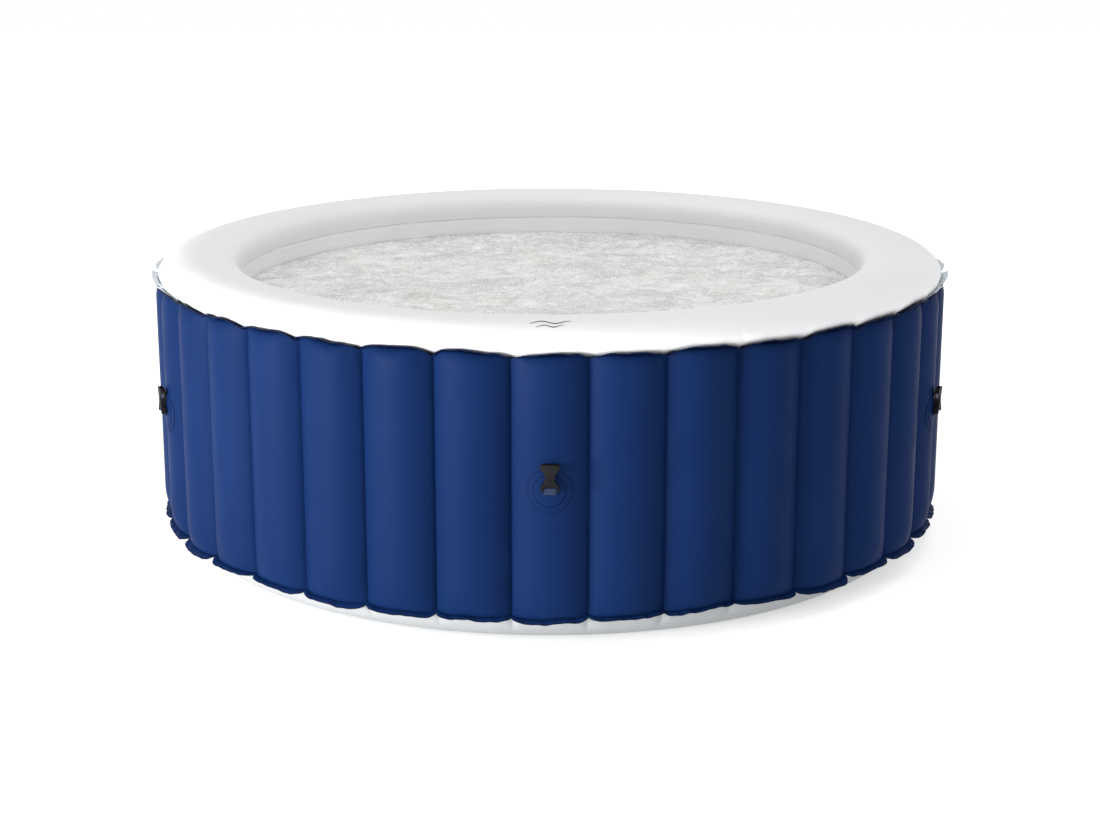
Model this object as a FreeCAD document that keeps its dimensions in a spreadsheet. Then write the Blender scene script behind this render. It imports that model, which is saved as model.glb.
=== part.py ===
import FreeCAD, Part
import Sketcher
import math
import os

# Inflatable hot tub.  Millimetres, +Z up, origin on the ground under the tub's
# centre.  The front of the tub faces -Y and its water connections face +Y.
# The wall is a ring of upright air flutes, with one flute centred at the front.

Vector = FreeCAD.Vector
Rotation = FreeCAD.Rotation
Placement = FreeCAD.Placement

doc = FreeCAD.newDocument("InflatableHotTub")
sheet = doc.addObject("Spreadsheet::Sheet", "Sizes")

CELLS = [
    # the wall
    ("flute_count", 36), ("flute_arc", 105), ("flute_axis", 787), ("skin", 3),
    ("wall_low", 64), ("wall_high", 598), ("seam_gap", 0.2), ("panel_gap", 0.1),
    # the welded seams
    ("flange_rad", 900), ("flange_inner", 874), ("flange_thick", 2.4),
    # the white parts
    ("total_high", 650), ("inner_rad", 705), ("inner_high", 590),
    ("rim_out_rad", 884), ("rim_out_low", 601), ("rim_shoulder_rad", 868), ("rim_shoulder_high", 624),
    ("rim_crown_out", 818), ("rim_crown_in", 740), ("rim_crown_high", 646.2),
    ("rim_lip_rad", 700), ("rim_lip_high", 612), ("base_foot_rad", 792), ("base_foot_in", 700),
    ("seam_band_wide", 16), ("seam_band_thick", 1.2),
    # inside the chamber
    ("web_thick", 2), ("web_low", 96), ("web_high", 556), ("web_clear", 0.3),
    # the air ring at the foot of the inner wall
    ("air_ring_wide", 46), ("air_ring_high", 38), ("air_hole_rad", 2.2),
    # water connections
    ("port_high", 250), ("port_bore", 22), ("port_spigot", 30), ("port_flange", 55), ("port_reach", 926),
    ("air_port_high", 400), ("air_bore", 16), ("air_spigot", 22), ("air_flange", 42), ("air_reach", 918),
    ("gasket_thick", 2), ("nut_rad", 44), ("thread_gap", 0.05), ("hole_gap", 0.3),
    # filter unit
    ("filter_rad", 58), ("filter_long", 96), ("cartridge_rad", 51), ("cartridge_bore", 19),
    # inflation valve
    ("valve_high", 430), ("valve_body", 24), ("valve_seat", 13), ("valve_flange", 40), ("valve_reach", 908),
    ("stem_rad", 3), ("stem_gap", 0.06),
    # drain valve
    ("drain_high", 112), ("drain_bore", 8), ("drain_spigot", 13), ("drain_flange", 32), ("drain_reach", 916),
    # cover buckles
    ("buckle_high", 338), ("buckle_axis", 901.4), ("buckle_wide", 38), ("buckle_tall", 50), ("buckle_thick", 11),
    ("bar_rad", 2.2), ("bar_gap", 0.05), ("strap_wide", 24), ("strap_thick", 1.7), ("patch_rad", 44), ("patch_thick", 2),
]
for row, (alias, number) in enumerate(CELLS, start=1):
    sheet.set("A%d" % row, alias.replace("_", " "))
    sheet.set("B%d" % row, repr(number))
    sheet.setAlias("B%d" % row, alias)
doc.recompute()


class Size:
    """A number together with the spreadsheet formula that gives it."""

    def __init__(self, number, formula):
        self.n = float(number)
        self.f = formula

    @staticmethod
    def of(x):
        return x if isinstance(x, Size) else Size(x, repr(float(x)))

    def __add__(self, o):
        o = Size.of(o)
        return Size(self.n + o.n, "(%s + %s)" % (self.f, o.f))

    def __sub__(self, o):
        o = Size.of(o)
        return Size(self.n - o.n, "(%s - %s)" % (self.f, o.f))

    def __mul__(self, o):
        o = Size.of(o)
        return Size(self.n * o.n, "(%s * %s)" % (self.f, o.f))

    def __truediv__(self, o):
        o = Size.of(o)
        return Size(self.n / o.n, "(%s / %s)" % (self.f, o.f))

    def __neg__(self):
        return Size(-self.n, "(0 - %s)" % self.f)


def sz(alias):
    return Size(dict(CELLS)[alias], "Sizes." + alias)


def cosine(a):
    return Size(math.cos(math.radians(a.n)), "cos(%s * 1 deg)" % a.f)


def sine(a):
    return Size(math.sin(math.radians(a.n)), "sin(%s * 1 deg)" % a.f)


def root(a):
    return Size(math.sqrt(a.n), "sqrt(%s)" % a.f)


PARTS = []  # the finished sub-parts, in order


def bind(obj, prop, size):
    size = Size.of(size)
    if not prop.startswith("."):
        setattr(obj, prop, size.n)
    obj.setExpression(prop, size.f)


def keep(obj, name):
    """Marks an object as a finished sub-part with this node name."""
    obj.Label = name
    PARTS.append(obj)
    return obj


def turn(obj, angle):
    """Turns an object about the tub's own axis, by an angle in degrees."""
    angle = Size.of(angle)
    obj.Placement = Placement(Vector(0, 0, 0), Rotation(Vector(0, 0, 1), angle.n or 1e-3))
    if angle.n:
        obj.setExpression(".Placement.Rotation.Angle", angle.f)
    else:
        obj.Placement = Placement()
    return obj


# ---------------------------------------------------------------- primitives
def post(name, radius, low, high, x=0.0):
    """An upright cylinder."""
    c = doc.addObject("Part::Cylinder", name)
    bind(c, "Radius", radius)
    bind(c, "Height", Size.of(high) - low)
    bind(c, ".Placement.Base.x", x)
    bind(c, ".Placement.Base.z", low)
    return c


def rod(name, radius, start, end, high, y=0.0):
    """A cylinder lying along +X, which is straight out through the wall."""
    c = doc.addObject("Part::Cylinder", name)
    bind(c, "Radius", radius)
    bind(c, "Height", Size.of(end) - start)
    c.Placement = Placement(Vector(0, 0, 0), Rotation(Vector(0, 1, 0), 90))
    bind(c, ".Placement.Base.x", start)
    bind(c, ".Placement.Base.y", y)
    bind(c, ".Placement.Base.z", high)
    return c


def block(name, x0, x1, y0, y1, z0, z1):
    b = doc.addObject("Part::Box", name)
    bind(b, "Length", Size.of(x1) - x0)
    bind(b, "Width", Size.of(y1) - y0)
    bind(b, "Height", Size.of(z1) - z0)
    bind(b, ".Placement.Base.x", x0)
    bind(b, ".Placement.Base.y", y0)
    bind(b, ".Placement.Base.z", z0)
    return b


def cut(name, base, *tools):
    for i, tool in enumerate(tools):
        c = doc.addObject("Part::Cut", name + "_cut%d" % i)
        c.Base, c.Tool = base, tool
        base = c
    return base


def fuse(name, *shapes):
    f = doc.addObject("Part::MultiFuse", name + "_fuse")
    f.Shapes = list(shapes)
    return f


def common(name, a, b):
    c = doc.addObject("Part::MultiCommon", name + "_common")
    c.Shapes = [a, b]
    return c


def group(name, shapes):
    c = doc.addObject("Part::Compound", name)
    c.Links = shapes
    return c


def bars(name, ro, ri, start, end, high):
    """A round tube lying along +X."""
    return cut(name, rod(name + "_out", ro, start, end, high),
               rod(name + "_in", ri, Size.of(start) - 1, Size.of(end) + 1, high))


# -------------------------------------------------------- sketches and bodies
def plane(body, role):
    return [f for f in body.Origin.OriginFeatures if f.Role == role][0]


def outline(body, role, corners):
    """A closed sketch.  Each corner is (x, y) for a straight run to the next corner,
    or (x, y, radius, side) for an arc of that radius, bulging to the left (+1) or
    right (-1) of the way to the next corner.  Every corner is dimensioned from the origin."""
    sk = body.newObject("Sketcher::SketchObject", body.Name + "_sketch")
    sk.AttachmentSupport = [(plane(body, role), "")]
    sk.MapMode = "FlatFace"
    pts = [(Size.of(c[0]), Size.of(c[1])) for c in corners]
    count = len(corners)
    ends = []
    for i, c in enumerate(corners):
        a = Vector(pts[i][0].n, pts[i][1].n, 0)
        b = Vector(pts[(i + 1) % count][0].n, pts[(i + 1) % count][1].n, 0)
        if len(c) == 2:
            g = sk.addGeometry(Part.LineSegment(a, b), False)
            ends.append((g, 1, 2))
        else:
            radius, side = Size.of(c[2]), c[3]
            chord = b - a
            left = Vector(-chord.y, chord.x, 0).normalize()
            half = chord.Length / 2
            depth = math.sqrt(radius.n ** 2 - half ** 2)
            centre = (a + b) * 0.5 - left * (depth * side)
            first, last = (b, a) if side > 0 else (a, b)
            t0 = math.atan2(first.y - centre.y, first.x - centre.x)
            t1 = math.atan2(last.y - centre.y, last.x - centre.x)
            if t1 < t0:
                t1 += 2 * math.pi
            g = sk.addGeometry(Part.ArcOfCircle(Part.Circle(centre, Vector(0, 0, 1), radius.n), t0, t1), False)
            sk.addConstraint(Sketcher.Constraint("Radius", g, radius.n))
            sk.setExpression("Constraints[%d]" % (sk.ConstraintCount - 1), radius.f)
            ends.append((g, 2, 1) if side > 0 else (g, 1, 2))
    for i in range(count):
        j = (i + 1) % count
        sk.addConstraint(Sketcher.Constraint("Coincident", ends[i][0], ends[i][2], ends[j][0], ends[j][1]))
    for i in range(count):
        g, p = ends[i][0], ends[i][1]
        for kind, size in (("DistanceX", pts[i][0]), ("DistanceY", pts[i][1])):
            if abs(size.n) < 1e-9:
                sk.addConstraint(Sketcher.Constraint("PointOnObject", g, p, -2 if kind == "DistanceX" else -1))
            else:
                sk.addConstraint(Sketcher.Constraint(kind, -1, 1, g, p, size.n))
                sk.setExpression("Constraints[%d]" % (sk.ConstraintCount - 1), size.f)
    return sk


def new_body(name):
    b = doc.addObject("PartDesign::Body", name)
    b.AllowCompound = True
    return b


def revolved(name, corners, role="XZ_Plane"):
    """A body turned about the tub's axis from a section given as (radius, height) corners."""
    body = new_body(name)
    sk = outline(body, role, corners)
    rev = body.newObject("PartDesign::Revolution", name + "_turned")
    rev.Profile = sk
    rev.ReferenceAxis = (sk, ["V_Axis"])
    rev.Angle = 360
    sk.Visibility = False
    doc.recompute()
    body.Tip = rev
    return body


def padded(name, role, corners, length, both=False):
    body = new_body(name)
    sk = outline(body, role, corners)
    pad = body.newObject("PartDesign::Pad", name + "_pad")
    pad.Profile = sk
    bind(pad, "Length", length)
    pad.Midplane = both
    doc.recompute()
    body.Tip = pad
    return body


def round_array(body, feature, count):
    pattern = body.newObject("PartDesign::PolarPattern", body.Name + "_array")
    pattern.Originals = [feature]
    axis = [f for f in body.Origin.OriginFeatures if f.Role == "Z_Axis"][0]
    pattern.Axis = (axis, [""])
    pattern.Angle = 360
    pattern.Occurrences = int(Size.of(count).n)
    if isinstance(count, Size):
        pattern.setExpression("Occurrences", count.f)
    doc.recompute()
    body.Tip = pattern
    return pattern


# ------------------------------------------------------------ the flutes' plan
count = sz("flute_count")
half = Size(180.0, "180") / count                       # half a flute, in degrees
step = Size(360.0, "360") / count
flute_rad = sz("flute_arc")
flute_axis = sz("flute_axis")                           # where each flute's arc is centred
crest = flute_axis + flute_rad                          # the flutes' outermost radius


def valley_at(radius):
    """Distance from the tub's axis at which neighbouring arcs of this radius meet."""
    reach = flute_axis * cosine(half)
    return reach + root(reach * reach - (flute_axis * flute_axis - radius * radius))


def angle_of(flute):
    """Direction of a flute, counted from the one at the front."""
    return step * float(flute) - 90.0


# ---------------------------------------------------- outer wall, one flute x N
skin = sz("skin")
inner_arc = flute_rad - skin
inner_valley = valley_at(inner_arc)
outer_valley = valley_at(flute_rad)

wall = new_body("outer_wall_flutes")
wall_sketch = outline(wall, "XY_Plane", [
    (outer_valley * cosine(half), -(outer_valley * sine(half)), flute_rad, -1),
    (outer_valley * cosine(half), outer_valley * sine(half)),
    (inner_valley * cosine(half), inner_valley * sine(half), inner_arc, 1),
    (inner_valley * cosine(half), -(inner_valley * sine(half))),
])
wall_sketch.setExpression(".AttachmentOffset.Base.z", "Sizes.wall_low")
wall_pad = wall.newObject("PartDesign::Pad", "one_flute")
wall_pad.Profile = wall_sketch
bind(wall_pad, "Length", sz("wall_high") - sz("wall_low"))
doc.recompute()
round_array(wall, wall_pad, count)
turn(wall, Size.of(-90.0))

# flutes that carry a fitting
OUTLET, INLET, AIR, VALVE, DRAIN = 19, 17, 18, 20, 16
hole_gap = sz("hole_gap")


def wall_hole(name, radius, high, flute, start=830.0, end=940.0):
    return turn(group(name, [rod(name + "_rod", radius, start, end, high)]), angle_of(flute))


wall_holes = [
    wall_hole("hole_outlet", sz("port_spigot") + hole_gap, sz("port_high"), OUTLET),
    wall_hole("hole_inlet", sz("port_spigot") + hole_gap, sz("port_high"), INLET),
    wall_hole("hole_air", sz("air_spigot") + hole_gap, sz("air_port_high"), AIR),
    wall_hole("hole_valve", sz("valve_body") + hole_gap, sz("valve_high"), VALVE),
    wall_hole("hole_drain", sz("drain_spigot") + hole_gap, sz("drain_high"), DRAIN),
]

# The skins are welded up from one panel per flute.  These thin radial plates part them.
parting = new_body("panel_parting")
parting_sketch = outline(parting, "XY_Plane", [
    (sz("inner_rad") - 65.0, -(sz("panel_gap") / 2.0)),
    (sz("flange_rad") + 15.0, -(sz("panel_gap") / 2.0)),
    (sz("flange_rad") + 15.0, sz("panel_gap") / 2.0),
    (sz("inner_rad") - 65.0, sz("panel_gap") / 2.0),
])
parting_sketch.AttachmentOffset = Placement(Vector(0, 0, -10.0), Rotation())
parting_pad = parting.newObject("PartDesign::Pad", "one_parting")
parting_pad.Profile = parting_sketch
bind(parting_pad, "Length", sz("total_high") + 30.0)
doc.recompute()
round_array(parting, parting_pad, count)
turn(parting, Size.of(-90.0) + half)

keep(cut("outer_wall", wall, *wall_holes, parting), "outer_wall")

# ------------------------------------------------------------------ top rim
# A fat rounded tube: up from the outer seam, over the crown, down to the inner seam.
def rim_section(t):
    lip_rad, lip_high = sz("rim_lip_rad"), sz("rim_lip_high")
    return [
        (sz("rim_out_rad") - t, sz("rim_out_low")),
        (sz("rim_shoulder_rad") - t * 0.85, sz("rim_shoulder_high") - t * 0.5),
        (sz("rim_crown_out"), sz("total_high") - 4.0 - t),
        (sz("rim_crown_in"), sz("total_high") - 4.0 - t),
        (lip_rad + t, lip_high),
        (sz("inner_rad") + t, sz("inner_high") + sz("seam_gap")),
    ]


outer_line = rim_section(Size.of(0.0))
inner_line = rim_section(skin)
rim_whole = revolved("top_rim_whole", [
    (outer_line[0][0], outer_line[0][1], 40.0, -1),
    (outer_line[1][0], outer_line[1][1], 96.0, -1),
    (outer_line[2][0], outer_line[2][1], 192.0, -1),
    (outer_line[3][0], outer_line[3][1], 60.0, -1),
    (outer_line[4][0], outer_line[4][1], 60.0, -1),
    (outer_line[5][0], outer_line[5][1]),
    (inner_line[5][0], inner_line[5][1], 57.0, 1),
    (inner_line[4][0], inner_line[4][1], 57.0, 1),
    (inner_line[3][0], inner_line[3][1], 189.0, 1),
    (inner_line[2][0], inner_line[2][1], 93.0, 1),
    (inner_line[1][0], inner_line[1][1], 37.0, 1),
    (inner_line[0][0], inner_line[0][1]),
])
keep(cut("top_rim", rim_whole, parting), "top_rim")

# ----------------------------------------------------------------- seam flanges
flange = sz("flange_thick")
keep(revolved("top_seam_flange", [
    (sz("flange_inner"), sz("wall_high")),
    (sz("flange_rad"), sz("wall_high")),
    (sz("flange_rad"), sz("wall_high") + flange),
    (sz("flange_inner"), sz("wall_high") + flange),
]), "top_seam_flange")
keep(revolved("bottom_seam_flange", [
    (sz("inner_rad") * 0.0 + inner_valley - 4.0, sz("wall_low") - flange),
    (sz("flange_rad"), sz("wall_low") - flange),
    (sz("flange_rad"), sz("wall_low")),
    (sz("inner_rad") * 0.0 + inner_valley - 4.0, sz("wall_low")),
]), "bottom_seam_flange")

# -------------------------------------------------- inner wall, floor and base
in_out = sz("inner_rad") + skin
inner_tube = cut("inner_tube", post("inner_tube_out", in_out, skin, sz("inner_high")),
                 post("inner_tube_in", sz("inner_rad"), Size.of(0.0), sz("inner_high") + 5.0))
inner_holes = [
    wall_hole("inner_hole_outlet", sz("port_spigot") + hole_gap, sz("port_high"), OUTLET, 650.0, 760.0),
    wall_hole("inner_hole_inlet", sz("port_spigot") + hole_gap, sz("port_high"), INLET, 650.0, 760.0),
    wall_hole("inner_hole_air", Size.of(9.3), Size.of(20.0), AIR, 650.0, 760.0),
    wall_hole("inner_hole_drain", sz("drain_spigot") + hole_gap, sz("drain_high"), DRAIN, 650.0, 760.0),
]
keep(cut("inner_wall", inner_tube, *inner_holes, parting), "inner_wall")

keep(group("floor_sheet", [post("floor_disc", sz("base_foot_in") - 0.2, Size.of(0.0), skin - 0.05)]), "floor_sheet")

# the white under-side of the wall: flat on the ground, curling up to the bottom seam
low_top = sz("wall_low") - flange - 0.1
base_whole = revolved("base_ring_whole", [
    (sz("base_foot_in"), Size.of(0.0)),
    (sz("base_foot_rad"), Size.of(0.0), 120.0, -1),
    (sz("flange_rad") - 22.0, low_top),
    (sz("flange_rad") - 25.0, low_top, 117.0, 1),
    (sz("base_foot_rad"), skin - 0.05),
    (sz("base_foot_in"), skin - 0.05),
])
keep(cut("base_ring", base_whole, parting), "base_ring")

# weld tape over the joint between rim and inner wall
band = sz("seam_band_thick")
keep(cut("inner_seam_band", post("seam_band_out", sz("inner_rad") - 0.05, sz("inner_high") - sz("seam_band_wide"), sz("inner_high")),
         post("seam_band_in", sz("inner_rad") - band, sz("inner_high") - 60.0, sz("inner_high") + 9.0)), "inner_seam_band")

# ------------------------------------------------------- webs in the air chamber
web = new_body("chamber_webs_body")
web_sketch = outline(web, "XY_Plane", [
    (in_out + sz("web_clear"), -(sz("web_thick") / 2.0)),
    (inner_valley - sz("web_clear"), -(sz("web_thick") / 2.0)),
    (inner_valley - sz("web_clear"), sz("web_thick") / 2.0),
    (in_out + sz("web_clear"), sz("web_thick") / 2.0),
])
web_sketch.setExpression(".AttachmentOffset.Base.z", "Sizes.web_low")
web_pad = web.newObject("PartDesign::Pad", "one_web")
web_pad.Profile = web_sketch
bind(web_pad, "Length", sz("web_high") - sz("web_low"))
doc.recompute()
round_array(web, web_pad, count)
turn(web, Size.of(-90.0) + half)
keep(web, "chamber_webs")

# ------------------------------------------- perforated air ring on the floor edge
air_body = new_body("air_ring_body")
ring_rad = sz("inner_rad") - 1.0
ring_sketch = outline(air_body, "XZ_Plane", [
    (ring_rad - sz("air_ring_wide"), skin + 0.1),
    (ring_rad, skin + 0.1),
    (ring_rad, skin + sz("air_ring_high")),
    (ring_rad - 8.0, skin + sz("air_ring_high")),
    (ring_rad - 32.0, skin + 29.0),
    (ring_rad - sz("air_ring_wide"), skin + 9.0),
])
ring_turn = air_body.newObject("PartDesign::Revolution", "air_ring_turned")
ring_turn.Profile = ring_sketch
ring_turn.ReferenceAxis = (ring_sketch, ["V_Axis"])
ring_turn.Angle = 360
doc.recompute()
air_body.Tip = ring_turn
bore_body = new_body("air_ring_bore")
bore_sketch = outline(bore_body, "XZ_Plane", [
    (ring_rad - sz("air_ring_wide") + 2.5, skin + 2.6),
    (ring_rad - 2.5, skin + 2.6),
    (ring_rad - 2.5, skin + sz("air_ring_high") - 2.5),
    (ring_rad - 9.0, skin + sz("air_ring_high") - 2.5),
    (ring_rad - 30.0, skin + 27.0),
    (ring_rad - sz("air_ring_wide") + 2.5, skin + 9.0),
])
bore_turn = bore_body.newObject("PartDesign::Revolution", "air_ring_bored")
bore_turn.Profile = bore_sketch
bore_turn.ReferenceAxis = (bore_sketch, ["V_Axis"])
bore_turn.Angle = 360
doc.recompute()
bore_body.Tip = bore_turn
air_holes = []
for k in range(int(count.n)):
    hole = post("air_hole_%02d" % k, sz("air_hole_rad"), skin + 10.0, skin + 60.0, ring_rad - sz("air_ring_wide") * 0.5)
    air_holes.append(turn(group("air_hole_at_%02d" % k, [hole]), step * float(k)))
air_feed_hole = wall_hole("air_feed_hole", Size.of(9.3), Size.of(20.0), AIR, 690.0, 760.0)
keep(cut("air_ring", air_body, bore_body, group("air_hole_set", air_holes), air_feed_hole, parting), "air_ring")


# ------------------------------------------------ fittings through the outer wall
def outer_round(name, radius):
    """An upright cylinder on a flute's own axis, as tall as the tub."""
    return post(name, radius, Size.of(-20.0), Size.of(700.0), flute_axis)


def wall_fitting(name, spigot, bore, flange_r, reach, high, flute, nut_rad, root_in=40.0, hose_bore=None):
    """Moulded collar through one flute: a flange seated on the flute, a spigot, a gasket and a lock nut."""
    seat = cut(name + "_seat", rod(name + "_disc", flange_r, crest - 34.0, crest + 4.0, high),
               outer_round(name + "_skin", flute_rad))
    tube = rod(name + "_tube", spigot, crest - root_in, reach, high)
    holes = [rod(name + "_bore", bore, crest - (60.0 if hose_bore is None else root_in - 10.0), Size.of(reach) + 5.0, high)]
    if hose_bore is not None:
        holes.append(rod(name + "_hose_bore", hose_bore, crest - 60.0, crest, high))
    collar = cut(name, fuse(name, seat, tube), *holes)
    turn(collar, angle_of(flute))
    gasket_t = sz("gasket_thick")
    gasket = cut(name + "_gasket",
                 common(name + "_gasket", outer_round(name + "_gasket_out", inner_arc),
                        bars(name + "_gasket_ring", nut_rad, spigot + 0.2, crest - 26.0, crest, high)),
                 outer_round(name + "_gasket_in", inner_arc - gasket_t))
    turn(gasket, angle_of(flute))
    nut = common(name + "_nut", outer_round(name + "_nut_face", inner_arc - gasket_t),
                 bars(name + "_nut_ring", Size.of(nut_rad) - 1.0, spigot + sz("thread_gap"), crest - 28.0, crest, high))
    turn(nut, angle_of(flute))
    return collar, gasket, nut


spigot, port_bore = sz("port_spigot"), sz("port_bore")
outlet_collar, outlet_gasket, outlet_nut = wall_fitting(
    "outlet", spigot, port_bore, sz("port_flange"), sz("port_reach"), sz("port_high"), OUTLET, sz("nut_rad"))
inlet_collar, inlet_gasket, inlet_nut = wall_fitting(
    "inlet", spigot, port_bore, sz("port_flange"), sz("port_reach"), sz("port_high"), INLET, sz("nut_rad"))
air_collar, air_gasket, air_nut = wall_fitting(
    "air", sz("air_spigot"), sz("air_bore"), sz("air_flange"), sz("air_reach"), sz("air_port_high"), AIR, sz("nut_rad") - 8.0, 40.0, 6.5)
drain_collar, drain_gasket, drain_nut = wall_fitting(
    "drain", sz("drain_spigot"), sz("drain_bore"), sz("drain_flange"), sz("drain_reach"), sz("drain_high"), DRAIN, sz("nut_rad") - 20.0)
keep(outlet_collar, "water_outlet_port")
keep(inlet_collar, "water_inlet_port")
keep(air_collar, "air_port")
keep(drain_collar, "drain_valve_body")
keep(group("port_gaskets", [outlet_gasket, inlet_gasket, air_gasket, drain_gasket]), "port_gaskets")
keep(group("port_lock_nuts", [outlet_nut, inlet_nut, air_nut, drain_nut]), "port_lock_nuts")


# -------------------------------------------- pipes and fittings on the inner wall
def pool_fitting(name, spigot, bore, flange_r, high, flute, nut_rad, reach):
    """Collar on the pool side of the inner wall, with its nut in the air chamber."""
    rad = sz("inner_rad")
    seat = common(name + "_seat", rod(name + "_disc", flange_r, rad - 8.0, rad + 3.0, high),
                  post(name + "_pool", rad, Size.of(-20.0), Size.of(700.0)))
    tube = rod(name + "_tube", spigot, rad - reach, rad + 24.0, high)
    collar = cut(name, fuse(name, seat, tube), rod(name + "_bore", bore, rad - 60.0, rad + 60.0, high))
    turn(collar, angle_of(flute))
    nut = cut(name + "_nut", bars(name + "_nut_ring", nut_rad, spigot + sz("thread_gap"), rad - 4.0, rad + 16.0, high),
              post(name + "_nut_face", in_out, Size.of(-20.0), Size.of(700.0)))
    turn(nut, angle_of(flute))
    return collar, nut


outlet_inner, outlet_inner_nut = pool_fitting("outlet_inner", spigot, port_bore, sz("port_flange"), sz("port_high"), OUTLET, sz("nut_rad"), 14.0)
inlet_inner, inlet_inner_nut = pool_fitting("inlet_inner", spigot, port_bore, sz("port_flange"), sz("port_high"), INLET, sz("nut_rad"), 14.0)
drain_inner, drain_inner_nut = pool_fitting("drain_inner", sz("drain_spigot"), sz("drain_bore"), sz("drain_flange"), sz("drain_high"), DRAIN, sz("nut_rad") - 20.0, 5.0)
keep(outlet_inner, "outlet_pool_collar")
keep(inlet_inner, "inlet_pool_collar")
keep(drain_inner, "drain_pool_collar")
keep(group("pool_lock_nuts", [outlet_inner_nut, inlet_inner_nut, drain_inner_nut]), "pool_lock_nuts")


def through_pipe(name, ro, ri, high, flute, root_in=40.0):
    """Pipe across the air chamber, from the pool collar to the wall collar."""
    p = bars(name, ro, ri, sz("inner_rad") + 24.1, crest - root_in - 0.1, high)
    return turn(p, angle_of(flute))


keep(through_pipe("water_outlet_pipe", spigot - 2.0, port_bore - 0.5, sz("port_high"), OUTLET), "water_outlet_pipe")
keep(through_pipe("water_inlet_pipe", spigot - 2.0, port_bore - 0.5, sz("port_high"), INLET), "water_inlet_pipe")
keep(through_pipe("drain_pipe", sz("drain_spigot") - 1.0, sz("drain_bore") - 0.5, sz("drain_high"), DRAIN), "drain_pipe")

# the air hose: in from the air port, down inside the chamber, and through to the air ring
hose = new_body("air_hose_body")
mid = Size.of(788.0)
hose_path = hose.newObject("Sketcher::SketchObject", "air_hose_path")
hose_path.AttachmentSupport = [(plane(hose, "XZ_Plane"), "")]
hose_path.MapMode = "FlatFace"
bend = 40.0
top_z, low_z = dict(CELLS)["air_port_high"], 20.0
x_out, x_mid, x_in = crest.n - 40.2, 788.0, dict(CELLS)["inner_rad"] + 0.5
V0, V1 = Vector(x_out, top_z, 0), Vector(x_mid + bend, top_z, 0)
V2, V3 = Vector(x_mid, top_z - bend, 0), Vector(x_mid, low_z + bend, 0)
V4, V5 = Vector(x_mid - bend, low_z, 0), Vector(x_in, low_z, 0)
k = bend * (1 - math.sqrt(0.5))
hose_path.addGeometry(Part.LineSegment(V0, V1), False)
hose_path.addGeometry(Part.Arc(V1, Vector(x_mid + k, top_z - k, 0), V2), False)
hose_path.addGeometry(Part.LineSegment(V2, V3), False)
hose_path.addGeometry(Part.Arc(V3, Vector(x_mid - k, low_z + k, 0), V4), False)
hose_path.addGeometry(Part.LineSegment(V4, V5), False)
hose_ring = hose.newObject("Sketcher::SketchObject", "air_hose_section")
hose_ring.AttachmentSupport = [(plane(hose, "YZ_Plane"), "")]
hose_ring.MapMode = "FlatFace"
hose_ring.AttachmentOffset = Placement(Vector(0, 0, x_out), Rotation())
hose_ring.setExpression(".AttachmentOffset.Base.z", "Sizes.flute_axis + Sizes.flute_arc - 40.2")
hose_ring.addGeometry(Part.Circle(Vector(0, top_z, 0), Vector(0, 0, 1), 9.0), False)
hose_ring.addGeometry(Part.Circle(Vector(0, top_z, 0), Vector(0, 0, 1), 6.5), False)
doc.recompute()
pipe = hose.newObject("PartDesign::AdditivePipe", "air_hose_swept")
pipe.Profile = hose_ring
pipe.Spine = hose_path
doc.recompute()
hose.Tip = pipe
turn(hose, angle_of(AIR))
keep(hose, "air_hose")

# ------------------------------------------------------------- pool-side fittings
rad = sz("inner_rad")
face = rad - 14.2                                       # inner end of the pool collars
gap = sz("thread_gap")
f_rad, f_long = sz("filter_rad"), sz("filter_long")
# filter base: a threaded ring screwed on the outlet collar, with a plate that closes the filter's back
filter_base = cut("filter_base",
                  fuse("filter_base", rod("filter_base_plate", f_rad, face - 4.0, face, sz("port_high")),
                       rod("filter_base_ring", spigot + 4.0, face, rad - 8.6, sz("port_high"))),
                  rod("filter_base_thread", spigot + gap, face, rad, sz("port_high")),
                  rod("filter_base_bore", port_bore, face - 30.0, rad, sz("port_high")))
keep(turn(filter_base, angle_of(OUTLET)), "filter_base")
# filter cover: a slotted cup over the pleated cartridge, bayonet-fixed to the base
mouth = face - 4.3
cover_cup = cut("filter_cover",
                rod("filter_cover_out", f_rad, mouth - f_long, mouth, sz("port_high")),
                rod("filter_cover_in", f_rad - 3.0, mouth - f_long + 3.0, mouth + 5.0, sz("port_high")))
slots = []
for k in range(12):
    s = block("filter_slot_%02d" % k, mouth - f_long + 14.0, mouth - 12.0, -3.0, 3.0, f_rad - 8.0, f_rad + 8.0)
    holder = group("filter_slot_at_%02d" % k, [s])
    holder.Placement = Placement(Vector(0, 0, dict(CELLS)["port_high"]), Rotation(Vector(1, 0, 0), 30.0 * k))
    holder.setExpression(".Placement.Base.z", "Sizes.port_high")
    slots.append(holder)
keep(turn(cut("filter_cover", cover_cup, group("filter_slots", slots)), angle_of(OUTLET)), "filter_cover")
cartridge = bars("filter_cartridge", sz("cartridge_rad"), sz("cartridge_bore"), mouth - f_long + 3.6, mouth - 0.6, sz("port_high"))
keep(turn(cartridge, angle_of(OUTLET)), "filter_cartridge")
# return nozzle: a screw-on grille over the inlet collar
grille = cut("return_grille",
             rod("return_grille_out", sz("port_flange") - 13.0, face - 6.0, rad - 8.6, sz("port_high")),
             rod("return_grille_thread", spigot + gap, face, rad, sz("port_high")))
bars_cut = []
for k, y in enumerate((-20.0, -10.0, 0.0, 10.0, 20.0)):
    tall = math.sqrt(26.0 ** 2 - y ** 2)
    bars_cut.append(block("grille_slot_%d" % k, face - 20.0, face + 2.0, Size.of(y - 3.0), Size.of(y + 3.0),
                          sz("port_high") - tall, sz("port_high") + tall))
keep(turn(cut("return_grille", grille, group("grille_slots", bars_cut)), angle_of(INLET)), "return_grille")

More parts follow.
